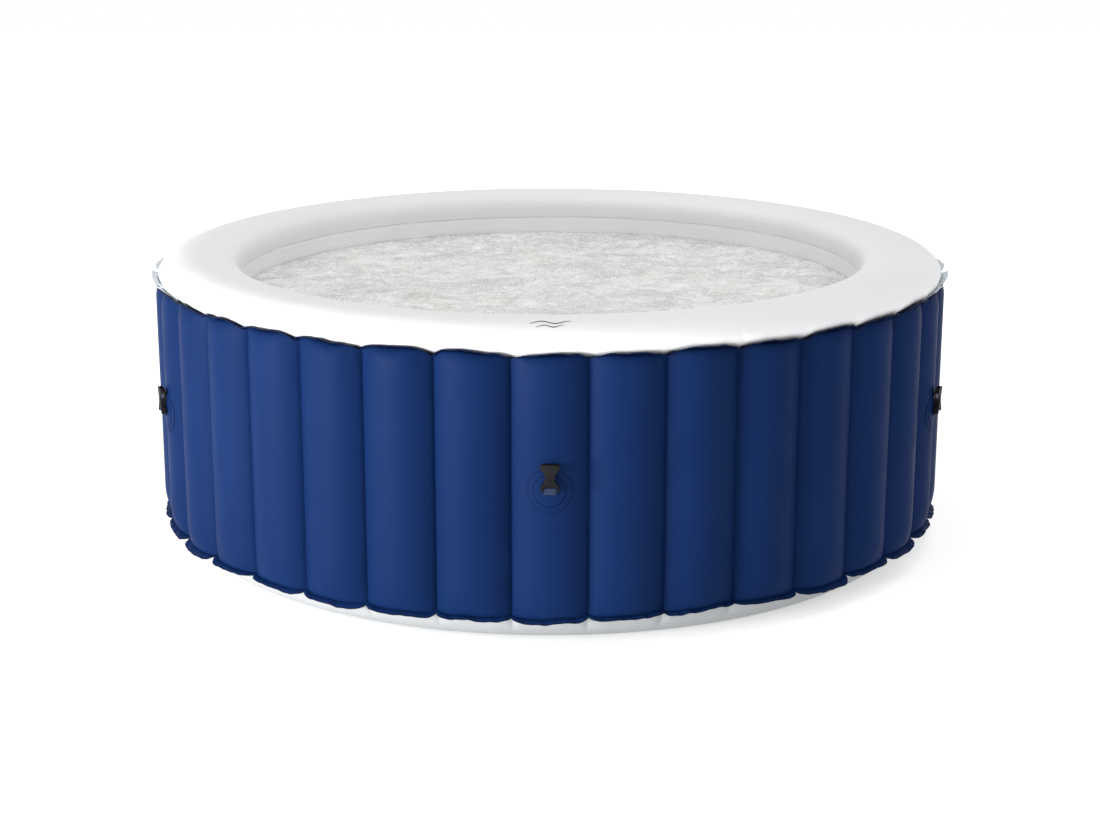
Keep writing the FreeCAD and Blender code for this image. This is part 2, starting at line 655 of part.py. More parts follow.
# -------------------------------------------------------------- inflation valve
v_high, v_body, v_seat = sz("valve_high"), sz("valve_body"), sz("valve_seat")
reach = sz("valve_reach")
seat_disc = cut("valve_seat_disc", rod("valve_disc", sz("valve_flange"), crest - 34.0, crest + 3.0, v_high),
                outer_round("valve_skin", flute_rad))
valve_base = cut("inflation_valve_base",
                 fuse("inflation_valve_base", seat_disc, rod("valve_tube", v_body, crest - 12.0, reach, v_high)),
                 rod("valve_throat", v_body - 4.0, crest - 8.0, reach + 5.0, v_high),
                 rod("valve_throat_low", v_seat, crest - 20.0, crest, v_high))
# spider across the throat, with the stem's guide
spider = fuse("valve_spider",
              rod("valve_guide", Size.of(6.5), crest - 8.0, crest - 2.0, v_high),
              block("valve_arm_a", crest - 8.0, crest - 5.0, Size.of(-20.4), Size.of(20.4), v_high - 2.0, v_high + 2.0),
              block("valve_arm_b", crest - 8.0, crest - 5.0, Size.of(-2.0), Size.of(2.0), v_high - 20.4, v_high + 20.4))
valve_whole = cut("inflation_valve", fuse("inflation_valve_all", valve_base, spider),
                  rod("valve_guide_bore", sz("stem_rad") + sz("stem_gap"), crest - 30.0, crest + 30.0, v_high))
keep(turn(valve_whole, angle_of(VALVE)), "inflation_valve_base")
# poppet: press button outside, sealing disc inside
stem = fuse("valve_stem",
            rod("stem_rod", sz("stem_rad"), crest - 15.0, crest + 9.0, v_high),
            rod("stem_disc", v_seat + 3.0, crest - 15.5, crest - 12.3, v_high),
            rod("stem_button", Size.of(6.0), crest + 6.5, crest + 9.0, v_high))
keep(turn(group("stem_group", [stem]), angle_of(VALVE)), "inflation_valve_stem")
# return spring: three flat wave turns between the guide and the button
spring = bars("valve_spring", Size.of(5.2), Size.of(3.6), crest - 1.9, crest + 6.4, v_high)
keep(turn(spring, angle_of(VALVE)), "inflation_valve_spring")
# screw cap with a finger bar
cap = fuse("valve_cap",
           cut("valve_cap_cup", rod("valve_cap_out", v_body + 4.0, crest + 5.0, reach + 5.0, v_high),
               rod("valve_cap_in", v_body + gap, crest + 4.0, reach + 1.5, v_high)),
           block("valve_cap_bar", reach + 4.0, reach + 12.0, Size.of(-18.0), Size.of(18.0), v_high - 2.5, v_high + 2.5))
keep(turn(group("cap_group", [cap]), angle_of(VALVE)), "inflation_valve_cap")

# ---------------------------------------------------------------- drain fittings
d_high, d_spigot, d_reach = sz("drain_high"), sz("drain_spigot"), sz("drain_reach")
drain_cap = fuse("drain_cap",
                 cut("drain_cap_cup", rod("drain_cap_out", d_spigot + 4.0, crest + 6.0, d_reach + 6.0, d_high),
                     rod("drain_cap_in", d_spigot + gap, crest + 5.0, d_reach + 3.0, d_high)),
                 block("drain_cap_bar", d_reach + 5.0, d_reach + 13.0, Size.of(-12.0), Size.of(12.0), d_high - 2.0, d_high + 2.0))
keep(turn(group("drain_cap_group", [drain_cap]), angle_of(DRAIN)), "drain_valve_cap")
washer = bars("drain_washer", d_spigot, sz("drain_bore"), d_reach + 0.2, d_reach + 2.9, d_high)
keep(turn(washer, angle_of(DRAIN)), "drain_cap_washer")
plug = fuse("drain_plug",
            rod("drain_plug_pin", sz("drain_bore") - gap, rad - 16.0, rad + 10.0, d_high),
            rod("drain_plug_head", sz("drain_bore") + 6.0, rad - 10.0, rad - 8.2, d_high))
plug_ring = cut("drain_plug_ring", rod("drain_plug_disc", Size.of(9.0), Size.of(-2.0), Size.of(2.0), Size.of(0.0)),
                rod("drain_plug_eye", Size.of(5.5), Size.of(-5.0), Size.of(5.0), Size.of(0.0)))
plug_ring.Placement = Placement(Vector(dict(CELLS)["inner_rad"] - 23.0, 0, dict(CELLS)["drain_high"]), Rotation(Vector(0, 0, 1), 90))
plug_ring.setExpression(".Placement.Base.x", "Sizes.inner_rad - 23")
plug_ring.setExpression(".Placement.Base.z", "Sizes.drain_high")
keep(turn(fuse("drain_plug_all", plug, plug_ring), angle_of(DRAIN)), "drain_plug")

# ------------------------------------------------------------ buckles for the cover
# Each hangs by its lower bar in a webbing loop on a round patch welded to a flute.
BUCKLES = [("front", 0), ("right", 7), ("left", -7), ("back_right", 14), ("back_left", -14)]
b_high, b_axis, b_wide = sz("buckle_high"), sz("buckle_axis"), sz("buckle_wide")
b_tall, b_thick, bar = sz("buckle_tall"), sz("buckle_thick"), sz("bar_rad")
patch_out = flute_rad + sz("patch_thick")
patches, straps = [], []
for where, flute in BUCKLES:
    n = "buckle_" + where
    disc = common(n + "_patch", rod(n + "_patch_rod", sz("patch_rad"), crest - 30.0, crest + 10.0, b_high - 6.0),
                  outer_round(n + "_patch_face", patch_out))
    patch = cut(n + "_patch", disc, outer_round(n + "_patch_back", flute_rad))
    patches.append(turn(patch, angle_of(flute)))

    half_strap = sz("strap_wide") / 2.0
    loop_out = bar + sz("bar_gap") + sz("strap_thick")
    eye = doc.addObject("Part::Cylinder", n + "_loop_out")
    hole = doc.addObject("Part::Cylinder", n + "_loop_in")
    for c, r, w in ((eye, loop_out, half_strap), (hole, bar + sz("bar_gap"), half_strap + 2.0)):
        bind(c, "Radius", r)
        bind(c, "Height", w * 2.0)
        c.Placement = Placement(Vector(0, 0, 0), Rotation(Vector(1, 0, 0), 90))
        bind(c, ".Placement.Base.x", b_axis)
        bind(c, ".Placement.Base.y", w)
        bind(c, ".Placement.Base.z", b_high)
    tab = block(n + "_tab", crest - 6.0, b_axis - 2.2, -half_strap, half_strap, b_high - 26.0, b_high - 1.0)
    strap = cut(n + "_strap", fuse(n + "_strap", eye, tab), hole, outer_round(n + "_strap_back", patch_out))
    straps.append(turn(strap, angle_of(flute)))

    body = new_body(n + "_body")
    w2, neck = b_wide / 2.0, b_wide / 2.0 - 5.0
    arm_in = half_strap + 0.8
    top = b_high + b_tall
    sk = outline(body, "YZ_Plane", [
        (-(w2 - 3.0), top), (-w2, top - 4.0), (-w2, top - 24.0), (-neck, top - 29.0), (-neck, b_high + 11.0),
        (-(w2 - 1.0), b_high + 7.0), (-(w2 - 1.0), b_high - 4.0), (-arm_in, b_high - 4.0), (-arm_in, b_high + 6.0),
        (arm_in, b_high + 6.0), (arm_in, b_high - 4.0), (w2 - 1.0, b_high - 4.0), (w2 - 1.0, b_high + 7.0),
        (neck, b_high + 11.0), (neck, top - 29.0), (w2, top - 24.0), (w2, top - 4.0), (w2 - 3.0, top),
    ])
    sk.AttachmentOffset = Placement(Vector(0, 0, dict(CELLS)["buckle_axis"]), Rotation())
    sk.setExpression(".AttachmentOffset.Base.z", "Sizes.buckle_axis")
    pad = body.newObject("PartDesign::Pad", n + "_pad")
    pad.Profile = sk
    bind(pad, "Length", b_thick)
    pad.Midplane = True
    doc.recompute()
    body.Tip = pad
    # mouth for the two prongs and the centre guide
    mouth_sk = outline(body, "YZ_Plane", [
        (-(w2 - 3.4), top + 1.0), (-(w2 - 3.4), top - 25.0), (w2 - 3.4, top - 25.0), (w2 - 3.4, top + 1.0),
    ])
    mouth_sk.AttachmentOffset = Placement(Vector(0, 0, dict(CELLS)["buckle_axis"]), Rotation())
    mouth_sk.setExpression(".AttachmentOffset.Base.z", "Sizes.buckle_axis")
    pocket = body.newObject("PartDesign::Pocket", n + "_mouth")
    pocket.Profile = mouth_sk
    bind(pocket, "Length", b_thick - 4.4)
    pocket.Midplane = True
    doc.recompute()
    body.Tip = pocket
    # side windows where the prongs are pressed
    windows = [
        block(n + "_win_a", b_axis - b_thick * 0.5 + 2.5, b_axis + b_thick * 0.5 - 2.5, -(w2 + 1.0), -(neck - 2.0), top - 25.0, top - 14.0),
        block(n + "_win_b", b_axis - b_thick * 0.5 + 2.5, b_axis + b_thick * 0.5 - 2.5, neck - 2.0, w2 + 1.0, top - 25.0, top - 14.0),
    ]
    pin = doc.addObject("Part::Cylinder", n + "_bar")
    bind(pin, "Radius", bar)
    bind(pin, "Height", (w2 - 2.0) * 2.0)
    pin.Placement = Placement(Vector(0, 0, 0), Rotation(Vector(1, 0, 0), 90))
    bind(pin, ".Placement.Base.x", b_axis)
    bind(pin, ".Placement.Base.y", w2 - 2.0)
    bind(pin, ".Placement.Base.z", b_high)
    # rounded ends of the arms about the bar
    ends = doc.addObject("Part::Cylinder", n + "_ends")
    bind(ends, "Radius", b_thick / 2.0)
    bind(ends, "Height", (w2 - 1.0) * 2.0)
    ends.Placement = Placement(Vector(0, 0, 0), Rotation(Vector(1, 0, 0), 90))
    bind(ends, ".Placement.Base.x", b_axis)
    bind(ends, ".Placement.Base.y", w2 - 1.0)
    bind(ends, ".Placement.Base.z", b_high)
    under = block(n + "_under", b_axis - 12.0, b_axis + 12.0, -(w2 + 2.0), w2 + 2.0, b_high - 12.0, b_high)
    below = cut(n + "_corner", under, ends)
    shell = cut(n + "_shell", body, group(n + "_windows", windows), below)
    keep(turn(fuse(n + "_whole", shell, pin), angle_of(flute)), n)

keep(group("buckle_patches", patches), "buckle_patches")
keep(group("buckle_straps", straps), "buckle_straps")

# ------------------------------------------------------------- check and write
doc.recompute()
bad = [o.Label for o in doc.Objects if set(o.State) & {"Invalid", "Error"}]
if bad:
    raise RuntimeError("failed features: %s" % ", ".join(bad))
for part in PARTS:
    if part.Shape.isNull() or not part.Shape.isValid() or not part.Shape.Solids:
        raise RuntimeError("bad shape: " + part.Label)
labels = [p.Label for p in PARTS]
if len(set(labels)) != len(labels):
    raise RuntimeError("two parts share a name")

os.makedirs("parts", exist_ok=True)
for part in PARTS:
    box = part.Shape.optimalBoundingBox(False, False)
    part.Shape.exportStep("parts/%s.step" % part.Label)
    print("%-24s solids %2d  volume %10.1f cm3  x %7.1f..%7.1f  y %7.1f..%7.1f  z %6.1f..%6.1f" % (
        part.Label, len(part.Shape.Solids), part.Shape.Volume / 1000.0,
        box.XMin, box.XMax, box.YMin, box.YMax, box.ZMin, box.ZMax))
print("parts:", len(PARTS))
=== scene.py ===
import bpy, bmesh, math
import numpy as np
from mathutils import Matrix, Vector


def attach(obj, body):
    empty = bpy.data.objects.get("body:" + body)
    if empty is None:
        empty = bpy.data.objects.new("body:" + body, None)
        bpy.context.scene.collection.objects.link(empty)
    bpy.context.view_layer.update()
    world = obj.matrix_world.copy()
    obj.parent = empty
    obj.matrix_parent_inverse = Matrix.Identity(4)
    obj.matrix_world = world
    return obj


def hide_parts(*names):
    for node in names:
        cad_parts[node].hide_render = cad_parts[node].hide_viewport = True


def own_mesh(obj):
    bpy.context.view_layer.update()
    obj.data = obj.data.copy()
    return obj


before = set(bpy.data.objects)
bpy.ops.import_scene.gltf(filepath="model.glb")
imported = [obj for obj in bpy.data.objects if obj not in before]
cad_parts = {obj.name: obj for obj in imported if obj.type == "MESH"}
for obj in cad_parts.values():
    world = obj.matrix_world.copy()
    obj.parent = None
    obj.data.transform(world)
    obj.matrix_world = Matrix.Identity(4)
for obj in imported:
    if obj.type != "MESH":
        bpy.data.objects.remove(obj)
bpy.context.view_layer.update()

# ------------------------------------------------------------------ numbers
FLUTES = 36
STEP = 2.0 * math.pi / FLUTES
AXIS, ARC = 0.787, 0.105          # centre and radius of each flute's arc
POOL = 0.705                      # inner wall radius
WATER = 0.5500
BUCKLES = [("front", 0), ("right", 7), ("left", -7), ("back_right", 14), ("back_left", -14)]
OUTLET, INLET, AIR, VALVE, DRAIN = 19, 17, 18, 20, 16


def seeded(n):
    return np.random.RandomState(n)


# ------------------------------------------------------------- mesh helpers
def link(obj):
    bpy.context.scene.collection.objects.link(obj)
    return obj


def mesh_object(name, verts, faces, smooth=True):
    me = bpy.data.meshes.new(name)
    me.from_pydata([tuple(v) for v in verts], [], [tuple(f) for f in faces])
    me.update()
    if smooth:
        me.polygons.foreach_set("use_smooth", [True] * len(me.polygons))
    me.validate()
    return link(bpy.data.objects.new(name, me))


def grid_object(name, P, wrap_u=False, wrap_v=False, flip=False, smooth=True):
    """A surface from an array of points P[v, u, 3]; wrap_u joins the last column to the first."""
    P = np.asarray(P, dtype=np.float64)
    nv, nu = P.shape[:2]
    idx = np.arange(nv * nu).reshape(nv, nu)
    a = idx
    if wrap_u:
        a = np.concatenate([a, a[:, :1]], axis=1)
    if wrap_v:
        a = np.concatenate([a, a[:1, :]], axis=0)
    q = np.stack([a[:-1, :-1], a[:-1, 1:], a[1:, 1:], a[1:, :-1]], axis=-1).reshape(-1, 4)
    if flip:
        q = q[:, ::-1]
    me = bpy.data.meshes.new(name)
    me.vertices.add(nv * nu)
    me.vertices.foreach_set("co", P.reshape(-1))
    me.loops.add(q.size)
    me.loops.foreach_set("vertex_index", q.reshape(-1).astype(np.int32))
    me.polygons.add(len(q))
    me.polygons.foreach_set("loop_start", np.arange(0, q.size, 4, dtype=np.int32))
    me.polygons.foreach_set("loop_total", np.full(len(q), 4, dtype=np.int32))
    me.update(calc_edges=True)
    me.validate()
    if smooth:
        me.polygons.foreach_set("use_smooth", [True] * len(me.polygons))
    return link(bpy.data.objects.new(name, me))


def apply_modifiers(obj):
    dg = bpy.context.evaluated_depsgraph_get()
    me = bpy.data.meshes.new_from_object(obj.evaluated_get(dg))
    obj.modifiers.clear()
    old = obj.data
    obj.data = me
    bpy.data.meshes.remove(old)
    return obj


def smooth_all(obj, angle=None):
    obj.data.polygons.foreach_set("use_smooth", [True] * len(obj.data.polygons))
    if angle is not None:
        obj.data.set_sharp_from_angle(angle=math.radians(angle))
    return obj


def ride(obj, body, material, slot, *nodes):
    obj.data.materials.clear()
    obj.data.materials.append(material)
    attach(obj, body)
    if nodes:
        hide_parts(*nodes)
    return obj


def join(name, objs):
    """One mesh from several, keeping each one's place."""
    bm = bmesh.new()
    for o in objs:
        me = o.data.copy()
        me.transform(o.matrix_world)
        bm.from_mesh(me)
        bpy.data.meshes.remove(me)
        bpy.data.objects.remove(o)
    me = bpy.data.meshes.new(name)
    bm.to_mesh(me)
    bm.free()
    obj = link(bpy.data.objects.new(name, me))
    return obj


# ------------------------------------------------------------ smooth noise
def wave_sum(x, seed, freqs, amps):
    """A sum of sines in x, periodic over a full turn when the frequencies are whole."""
    rs = seeded(seed)
    y = np.zeros_like(np.asarray(x, dtype=np.float64))
    for f, a in zip(freqs, amps):
        y = y + a * np.sin(f * x + rs.uniform(0, 2 * math.pi))
    return y


def value_noise(x, y, seed):
    """Smooth value noise, about -1 to 1, on arrays."""
    rs = seeded(seed)
    table = rs.uniform(-1, 1, (256, 256))
    xi, yi = np.floor(x).astype(int), np.floor(y).astype(int)
    fx, fy = x - xi, y - yi
    fx = fx * fx * fx * (fx * (fx * 6 - 15) + 10)
    fy = fy * fy * fy * (fy * (fy * 6 - 15) + 10)
    g = lambda i, j: table[i & 255, j & 255]
    a = g(xi, yi) * (1 - fx) + g(xi + 1, yi) * fx
    b = g(xi, yi + 1) * (1 - fx) + g(xi + 1, yi + 1) * fx
    return a * (1 - fy) + b * fy


def fbm(x, y, seed, octaves=5, gain=0.5, lac=2.03, ridged=False):
    s, a, tot = 0.0, 1.0, 0.0
    for k in range(octaves):
        n = value_noise(x + 17.3 * k, y - 9.1 * k, seed + k)
        if ridged:
            n = 1.0 - 2.0 * np.abs(n)
        s = s + a * n
        tot += a
        a *= gain
        x, y = x * lac, y * lac
    return s / tot


# -------------------------------------------------------- the wall's surface
rs = seeded(36)
top_lift = rs.uniform(-0.0022, 0.0016, FLUTES)
top_tilt = rs.uniform(-0.0036, 0.0036, FLUTES)
top_bump = rs.uniform(-0.0034, 0.0020, FLUTES)
top_bump_at = rs.uniform(-0.5, 0.5, FLUTES)
low_drop = rs.uniform(-0.0030, 0.0024, FLUTES)
low_tilt = rs.uniform(-0.0030, 0.0030, FLUTES)
low_bump = rs.uniform(-0.0020, 0.0020, FLUTES)
low_bump_at = rs.uniform(-0.5, 0.5, FLUTES)
pull = rs.uniform(0.85, 1.15, FLUTES)
for flute, more in ((-5, 0.0022), (-6, 0.0015), (-7, 0.0015), (-1, -0.0032), (1, -0.0032), (2, -0.0024), (3, -0.0010), (4, 0.0018), (5, 0.0024)):
    low_drop[flute] += more
for flute, more in ((-1, 0.0030), (-2, 0.0034), (-4, 0.0024), (0, -0.0030), (1, -0.0030), (6, 0.0026), (4, 0.0016)):
    top_lift[flute] += more


def flute_of(theta):
    k = np.round(theta / STEP).astype(int)
    local = theta - k * STEP
    return k % FLUTES, local, local / (STEP / 2)


def arc_radius(local):
    return AXIS * np.cos(local) + np.sqrt(ARC ** 2 - (AXIS * np.sin(local)) ** 2)


def seam_top(theta):
    """Where the navy wall is welded to the rim: (radius, height)."""
    k, local, s = flute_of(theta)
    w = 1.0 - np.abs(s) ** 3.8
    bump = top_bump[k] * np.exp(-((s - top_bump_at[k]) / 0.28) ** 2)
    z = 0.5888 + (0.0088 + top_lift[k] + top_tilt[k] * s + bump) * w
    z = z + wave_sum(theta, 5, (97, 151, 211), (0.00035, 0.0003, 0.0002))
    r = 0.8622 + 0.0125 * w
    return r, z


def seam_low(theta):
    """Where the navy wall is welded to the base."""
    k, local, s = flute_of(theta)
    w = 1.0 - np.abs(s) ** 5.0
    bump = low_bump[k] * np.exp(-((s - low_bump_at[k]) / 0.3) ** 2)
    z = 0.0672 - (0.0036 + low_drop[k] * 0.8 + low_tilt[k] * 0.8 * s + bump * 0.8) * w
    z = z + wave_sum(theta, 8, (89, 163, 227), (0.0003, 0.0003, 0.0002))
    r = 0.8615 + 0.0115 * w
    return r, z


def wall_surface(theta, t):
    """The inflated skin of the wall: t runs 0 to 1 from the low seam to the top one."""
    k, local, s = flute_of(theta)
    rt, zt = seam_top(theta)
    rl, zl = seam_low(theta)
    z = zl + (zt - zl) * t
    hb, ht = 0.060 * pull[k], 0.036
    gb = np.clip((z - zl) / hb, 0, 1)
    gt = np.clip((zt - z) / ht, 0, 1)
    g = np.sqrt(np.maximum(1 - (1 - gb) ** 2, 0)) * np.sqrt(np.maximum(1 - (1 - gt) ** 2, 0))
    seam = rl + (rt - rl) * t
    R = arc_radius(local)
    edge = np.abs(np.abs(local) - STEP / 2) * R          # distance from the valley
    R = R - 0.0022 * np.exp(-(edge / 0.0028) ** 2)
    # small tugs along the weld lines, and puckers fanning from the seams
    tug = np.exp(-(edge / 0.011) ** 2) * (np.sin(z * 210 + k * 2.4) * 0.5 + np.sin(z * 137 + k * 1.1) * 0.5)
    R = R - 0.00035 * (tug + 1) * np.clip(edge / 0.003, 0, 1) * np.exp(-(edge / 0.02) ** 2)
    fan_t = 1.9 * np.exp(-(zt - z) / 0.026) * wave_sum(theta, 21, (252, 324, 396, 468), (0.5, 0.6, 0.5, 0.4))
    fan_b = 1.4 * np.exp(-(z - zl) / 0.024) * wave_sum(theta, 22, (216, 288, 360, 432), (0.5, 0.5, 0.5, 0.4))
    R = R - 0.00075 * (np.abs(fan_t) + np.abs(fan_b))
    slack = wave_sum(theta, 31, (7, 19, 53), (0.4, 0.3, 0.3)) * np.sin(z * 9.0 + theta * 3)
    R = R - 0.0006 * np.abs(slack)
    return seam + (R - seam) * g, z


def around(theta, r, z):
    """Points from the angle counted from the front, the radius and the height."""
    a = theta - math.pi / 2
    return np.stack([r * np.cos(a), r * np.sin(a), z], axis=-1)


def flute_thetas(per):
    """Angles round the tub, closer together beside each weld line."""
    x = np.arange(per) / per * 2 - 1
    s = np.sin(x * math.pi / 2)
    th = (np.arange(FLUTES)[:, None] * STEP + s[None, :] * STEP / 2).reshape(-1)
    return th


# ---------------------------------------------------------------- materials
def new_material(name):
    m = bpy.data.materials.new(name)
    m.use_nodes = True
    nt = m.node_tree
    bsdf = nt.nodes["Principled BSDF"]
    return m, nt, bsdf


def nd(nt, kind, **props):
    n = nt.nodes.new(kind)
    for key, val in props.items():
        if key.startswith("in_"):
            n.inputs[key[3:].replace("_", " ")].default_value = val
        else:
            setattr(n, key, val)
    return n


def coords(nt, scale=(1, 1, 1)):
    tc = nd(nt, "ShaderNodeTexCoord")
    mp = nd(nt, "ShaderNodeMapping")
    mp.inputs["Scale"].default_value = scale
    nt.links.new(tc.outputs["Object"], mp.inputs["Vector"])
    return mp.outputs["Vector"]


def noise(nt, vec, scale, detail=4.0, rough=0.5, distortion=0.0):
    n = nd(nt, "ShaderNodeTexNoise")
    n.inputs["Scale"].default_value = scale
    n.inputs["Detail"].default_value = detail
    n.inputs["Roughness"].default_value = rough
    n.inputs["Distortion"].default_value = distortion
    nt.links.new(vec, n.inputs["Vector"])
    return n.outputs["Fac"]


def ramp(nt, fac, stops, interpolation="LINEAR"):
    r = nd(nt, "ShaderNodeValToRGB")
    r.color_ramp.interpolation = interpolation
    els = r.color_ramp.elements
    while len(els) < len(stops):
        els.new(0.5)
    for e, (p, c) in zip(els, stops):
        e.position = p
        e.color = tuple(c) + (1.0,) if len(c) == 3 else c
    nt.links.new(fac, r.inputs["Fac"])
    return r.outputs["Color"]


def remap(nt, fac, a, b, c, d):
    n = nd(nt, "ShaderNodeMapRange")
    n.inputs["From Min"].default_value, n.inputs["From Max"].default_value = a, b
    n.inputs["To Min"].default_value, n.inputs["To Max"].default_value = c, d
    nt.links.new(fac, n.inputs["Value"])
    return n.outputs["Result"]


def math_node(nt, op, a, b=None):
    n = nd(nt, "ShaderNodeMath", operation=op)
    for i, v in enumerate((a, b)):
        if v is None:
            continue
        if isinstance(v, (int, float)):
            n.inputs[i].default_value = v
        else:
            nt.links.new(v, n.inputs[i])
    return n.outputs[0]


def bump(nt, height, strength, distance, normal=None):
    b = nd(nt, "ShaderNodeBump")
    b.inputs["Strength"].default_value = strength
    b.inputs["Distance"].default_value = distance
    nt.links.new(height, b.inputs["Height"])
    if normal is not None:
        nt.links.new(normal, b.inputs["Normal"])
    return b.outputs["Normal"]


def vinyl(name, dark, light, rough=0.42, grain=0.00006, coat=0.0, mottling=2.2, spec=0.5):
    """Calendered PVC sheet: fine pressed grain, soft cloudy colour, slightly uneven gloss."""
    m, nt, bsdf = new_material(name)
    vec = coords(nt)
    cloud = noise(nt, vec, mottling, 5, 0.55, 0.6)
    nt.links.new(ramp(nt, cloud, [(0.32, dark), (0.70, light)]), bsdf.inputs["Base Color"])
    smear = noise(nt, vec, 9.0, 6, 0.6, 1.2)
    nt.links.new(remap(nt, smear, 0.3, 0.75, rough - 0.05, rough + 0.07), bsdf.inputs["Roughness"])
    fine = noise(nt, vec, 900.0, 3, 0.6)
    ripple = noise(nt, vec, 26.0, 3, 0.5, 0.4)
    n1 = bump(nt, ripple, 0.35, 0.0016)
    nt.links.new(bump(nt, fine, 0.5, grain, n1), bsdf.inputs["Normal"])
    bsdf.inputs["Specular IOR Level"].default_value = spec
    bsdf.inputs["Coat Weight"].default_value = coat
    bsdf.inputs["Coat Roughness"].default_value = 0.3
    return m


def moulded(name, dark, light, rough=0.45, grain=0.00008, scale=700.0, spec=0.5):
    """Injection-moulded plastic with a fine spark texture."""
    m, nt, bsdf = new_material(name)
    vec = coords(nt)
    cloud = noise(nt, vec, 30.0, 4, 0.5)
    nt.links.new(ramp(nt, cloud, [(0.3, dark), (0.7, light)]), bsdf.inputs["Base Color"])
    smear = noise(nt, vec, 60.0, 5, 0.6, 0.8)
    nt.links.new(remap(nt, smear, 0.3, 0.75, rough - 0.07, rough + 0.08), bsdf.inputs["Roughness"])
    nt.links.new(bump(nt, noise(nt, vec, scale, 4, 0.6), 0.6, grain), bsdf.inputs["Normal"])
    bsdf.inputs["Specular IOR Level"].default_value = spec
    return m


navy = vinyl("navy_vinyl", (0.0034, 0.0138, 0.0590), (0.0044, 0.0165, 0.0690), rough=0.50, spec=0.026)
# darker navy: painted shade for the shadow lines under the top and bottom seam flanges; on the patch weld rings it is
# the rings' own darker tone
navy_weld_and_shade = vinyl("navy_vinyl_weld_and_painted_shade", (0.0022, 0.0055, 0.022), (0.0036, 0.0090, 0.034), rough=0.5, spec=0.05)
white = vinyl("white_vinyl", (0.690, 0.693, 0.706), (0.720, 0.723, 0.734), rough=0.5, mottling=1.5, spec=0.16)
inner_white = vinyl("inner_white_vinyl", (0.755, 0.760, 0.772), (0.785, 0.790, 0.802), rough=0.48, mottling=1.8, spec=0.22)
clear_edge = vinyl("clear_vinyl_edge", (0.40, 0.45, 0.49), (0.50, 0.55, 0.585), rough=0.28, spec=0.3)
# white vinyl base given a grey colour: painted shade for the base sitting low in shade near the floor
base_painted_shade = vinyl("base_vinyl_painted_shade", (0.325, 0.336, 0.343), (0.36, 0.371, 0.378), rough=0.5, mottling=1.5, spec=0.12)
web_white = vinyl("web_vinyl", (0.74, 0.75, 0.76), (0.80, 0.81, 0.82), rough=0.5)
black_plastic = moulded("black_plastic", (0.0070, 0.0070, 0.0076), (0.0115, 0.0115, 0.0122), rough=0.46, spec=0.055)
grey_plastic = moulded("grey_plastic", (0.15, 0.165, 0.185), (0.19, 0.205, 0.225), rough=0.42)
white_plastic = moulded("white_plastic", (0.76, 0.77, 0.78), (0.82, 0.83, 0.84), rough=0.38)
pipe_plastic = moulded("pipe_plastic", (0.55, 0.57, 0.59), (0.62, 0.64, 0.66), rough=0.3)
rubber = moulded("seal_rubber", (0.018, 0.018, 0.018), (0.030, 0.030, 0.030), rough=0.7, grain=0.0001)


def ink_material():
    m, nt, bsdf = new_material("printed_ink")
    vec = coords(nt)
    nt.links.new(ramp(nt, noise(nt, vec, 180.0, 3, 0.6), [(0.35, (0.035, 0.035, 0.04)), (0.75, (0.10, 0.10, 0.11))]), bsdf.inputs["Base Color"])
    nt.links.new(bump(nt, noise(nt, vec, 900.0, 2, 0.5), 0.3, 0.00003), bsdf.inputs["Normal"])
    bsdf.inputs["Roughness"].default_value = 0.55
    return m


ink = ink_material()


def webbing_material():
    """Narrow woven webbing, fine diagonal ribs."""
    m, nt, bsdf = new_material("webbing")
    vec = coords(nt)
    w1 = nd(nt, "ShaderNodeTexWave", wave_type="BANDS", bands_direction="DIAGONAL")
    w1.inputs["Scale"].default_value = 520.0
    w1.inputs["Distortion"].default_value = 0.6
    nt.links.new(vec, w1.inputs["Vector"])
    w2 = nd(nt, "ShaderNodeTexWave", wave_type="BANDS", bands_direction="Z")
    w2.inputs["Scale"].default_value = 420.0
    w2.inputs["Distortion"].default_value = 0.4
    nt.links.new(vec, w2.inputs["Vector"])
    weave = math_node(nt, "MULTIPLY", w1.outputs["Fac"], w2.outputs["Fac"])
    nt.links.new(ramp(nt, weave, [(0.1, (0.014, 0.023, 0.055)), (0.8, (0.036, 0.052, 0.105))]), bsdf.inputs["Base Color"])
    nt.links.new(bump(nt, weave, 0.8, 0.0003), bsdf.inputs["Normal"])
    bsdf.inputs["Roughness"].default_value = 0.8
    bsdf.inputs["Specular IOR Level"].default_value = 0.2
    return m


webbing = webbing_material()


def steel_material():
    m, nt, bsdf = new_material("spring_steel")
    vec = coords(nt)
    nt.links.new(ramp(nt, noise(nt, vec, 300.0, 3, 0.5), [(0.3, (0.45, 0.45, 0.47)), (0.7, (0.62, 0.62, 0.64))]), bsdf.inputs["Base Color"])
    nt.links.new(remap(nt, noise(nt, vec, 500.0, 3, 0.5), 0.3, 0.7, 0.2, 0.35), bsdf.inputs["Roughness"])
    bsdf.inputs["Metallic"].default_value = 1.0
    return m


steel = steel_material()


def pleated_paper():
    m, nt, bsdf = new_material("filter_paper")
    vec = coords(nt)
    n = noise(nt, vec, 240.0, 5, 0.6)
    nt.links.new(ramp(nt, n, [(0.3, (0.66, 0.66, 0.62)), (0.7, (0.80, 0.80, 0.76))]), bsdf.inputs["Base Color"])
    nt.links.new(bump(nt, n, 0.8, 0.0004), bsdf.inputs["Normal"])
    bsdf.inputs["Roughness"].default_value = 0.85
    return m


paper = pleated_paper()


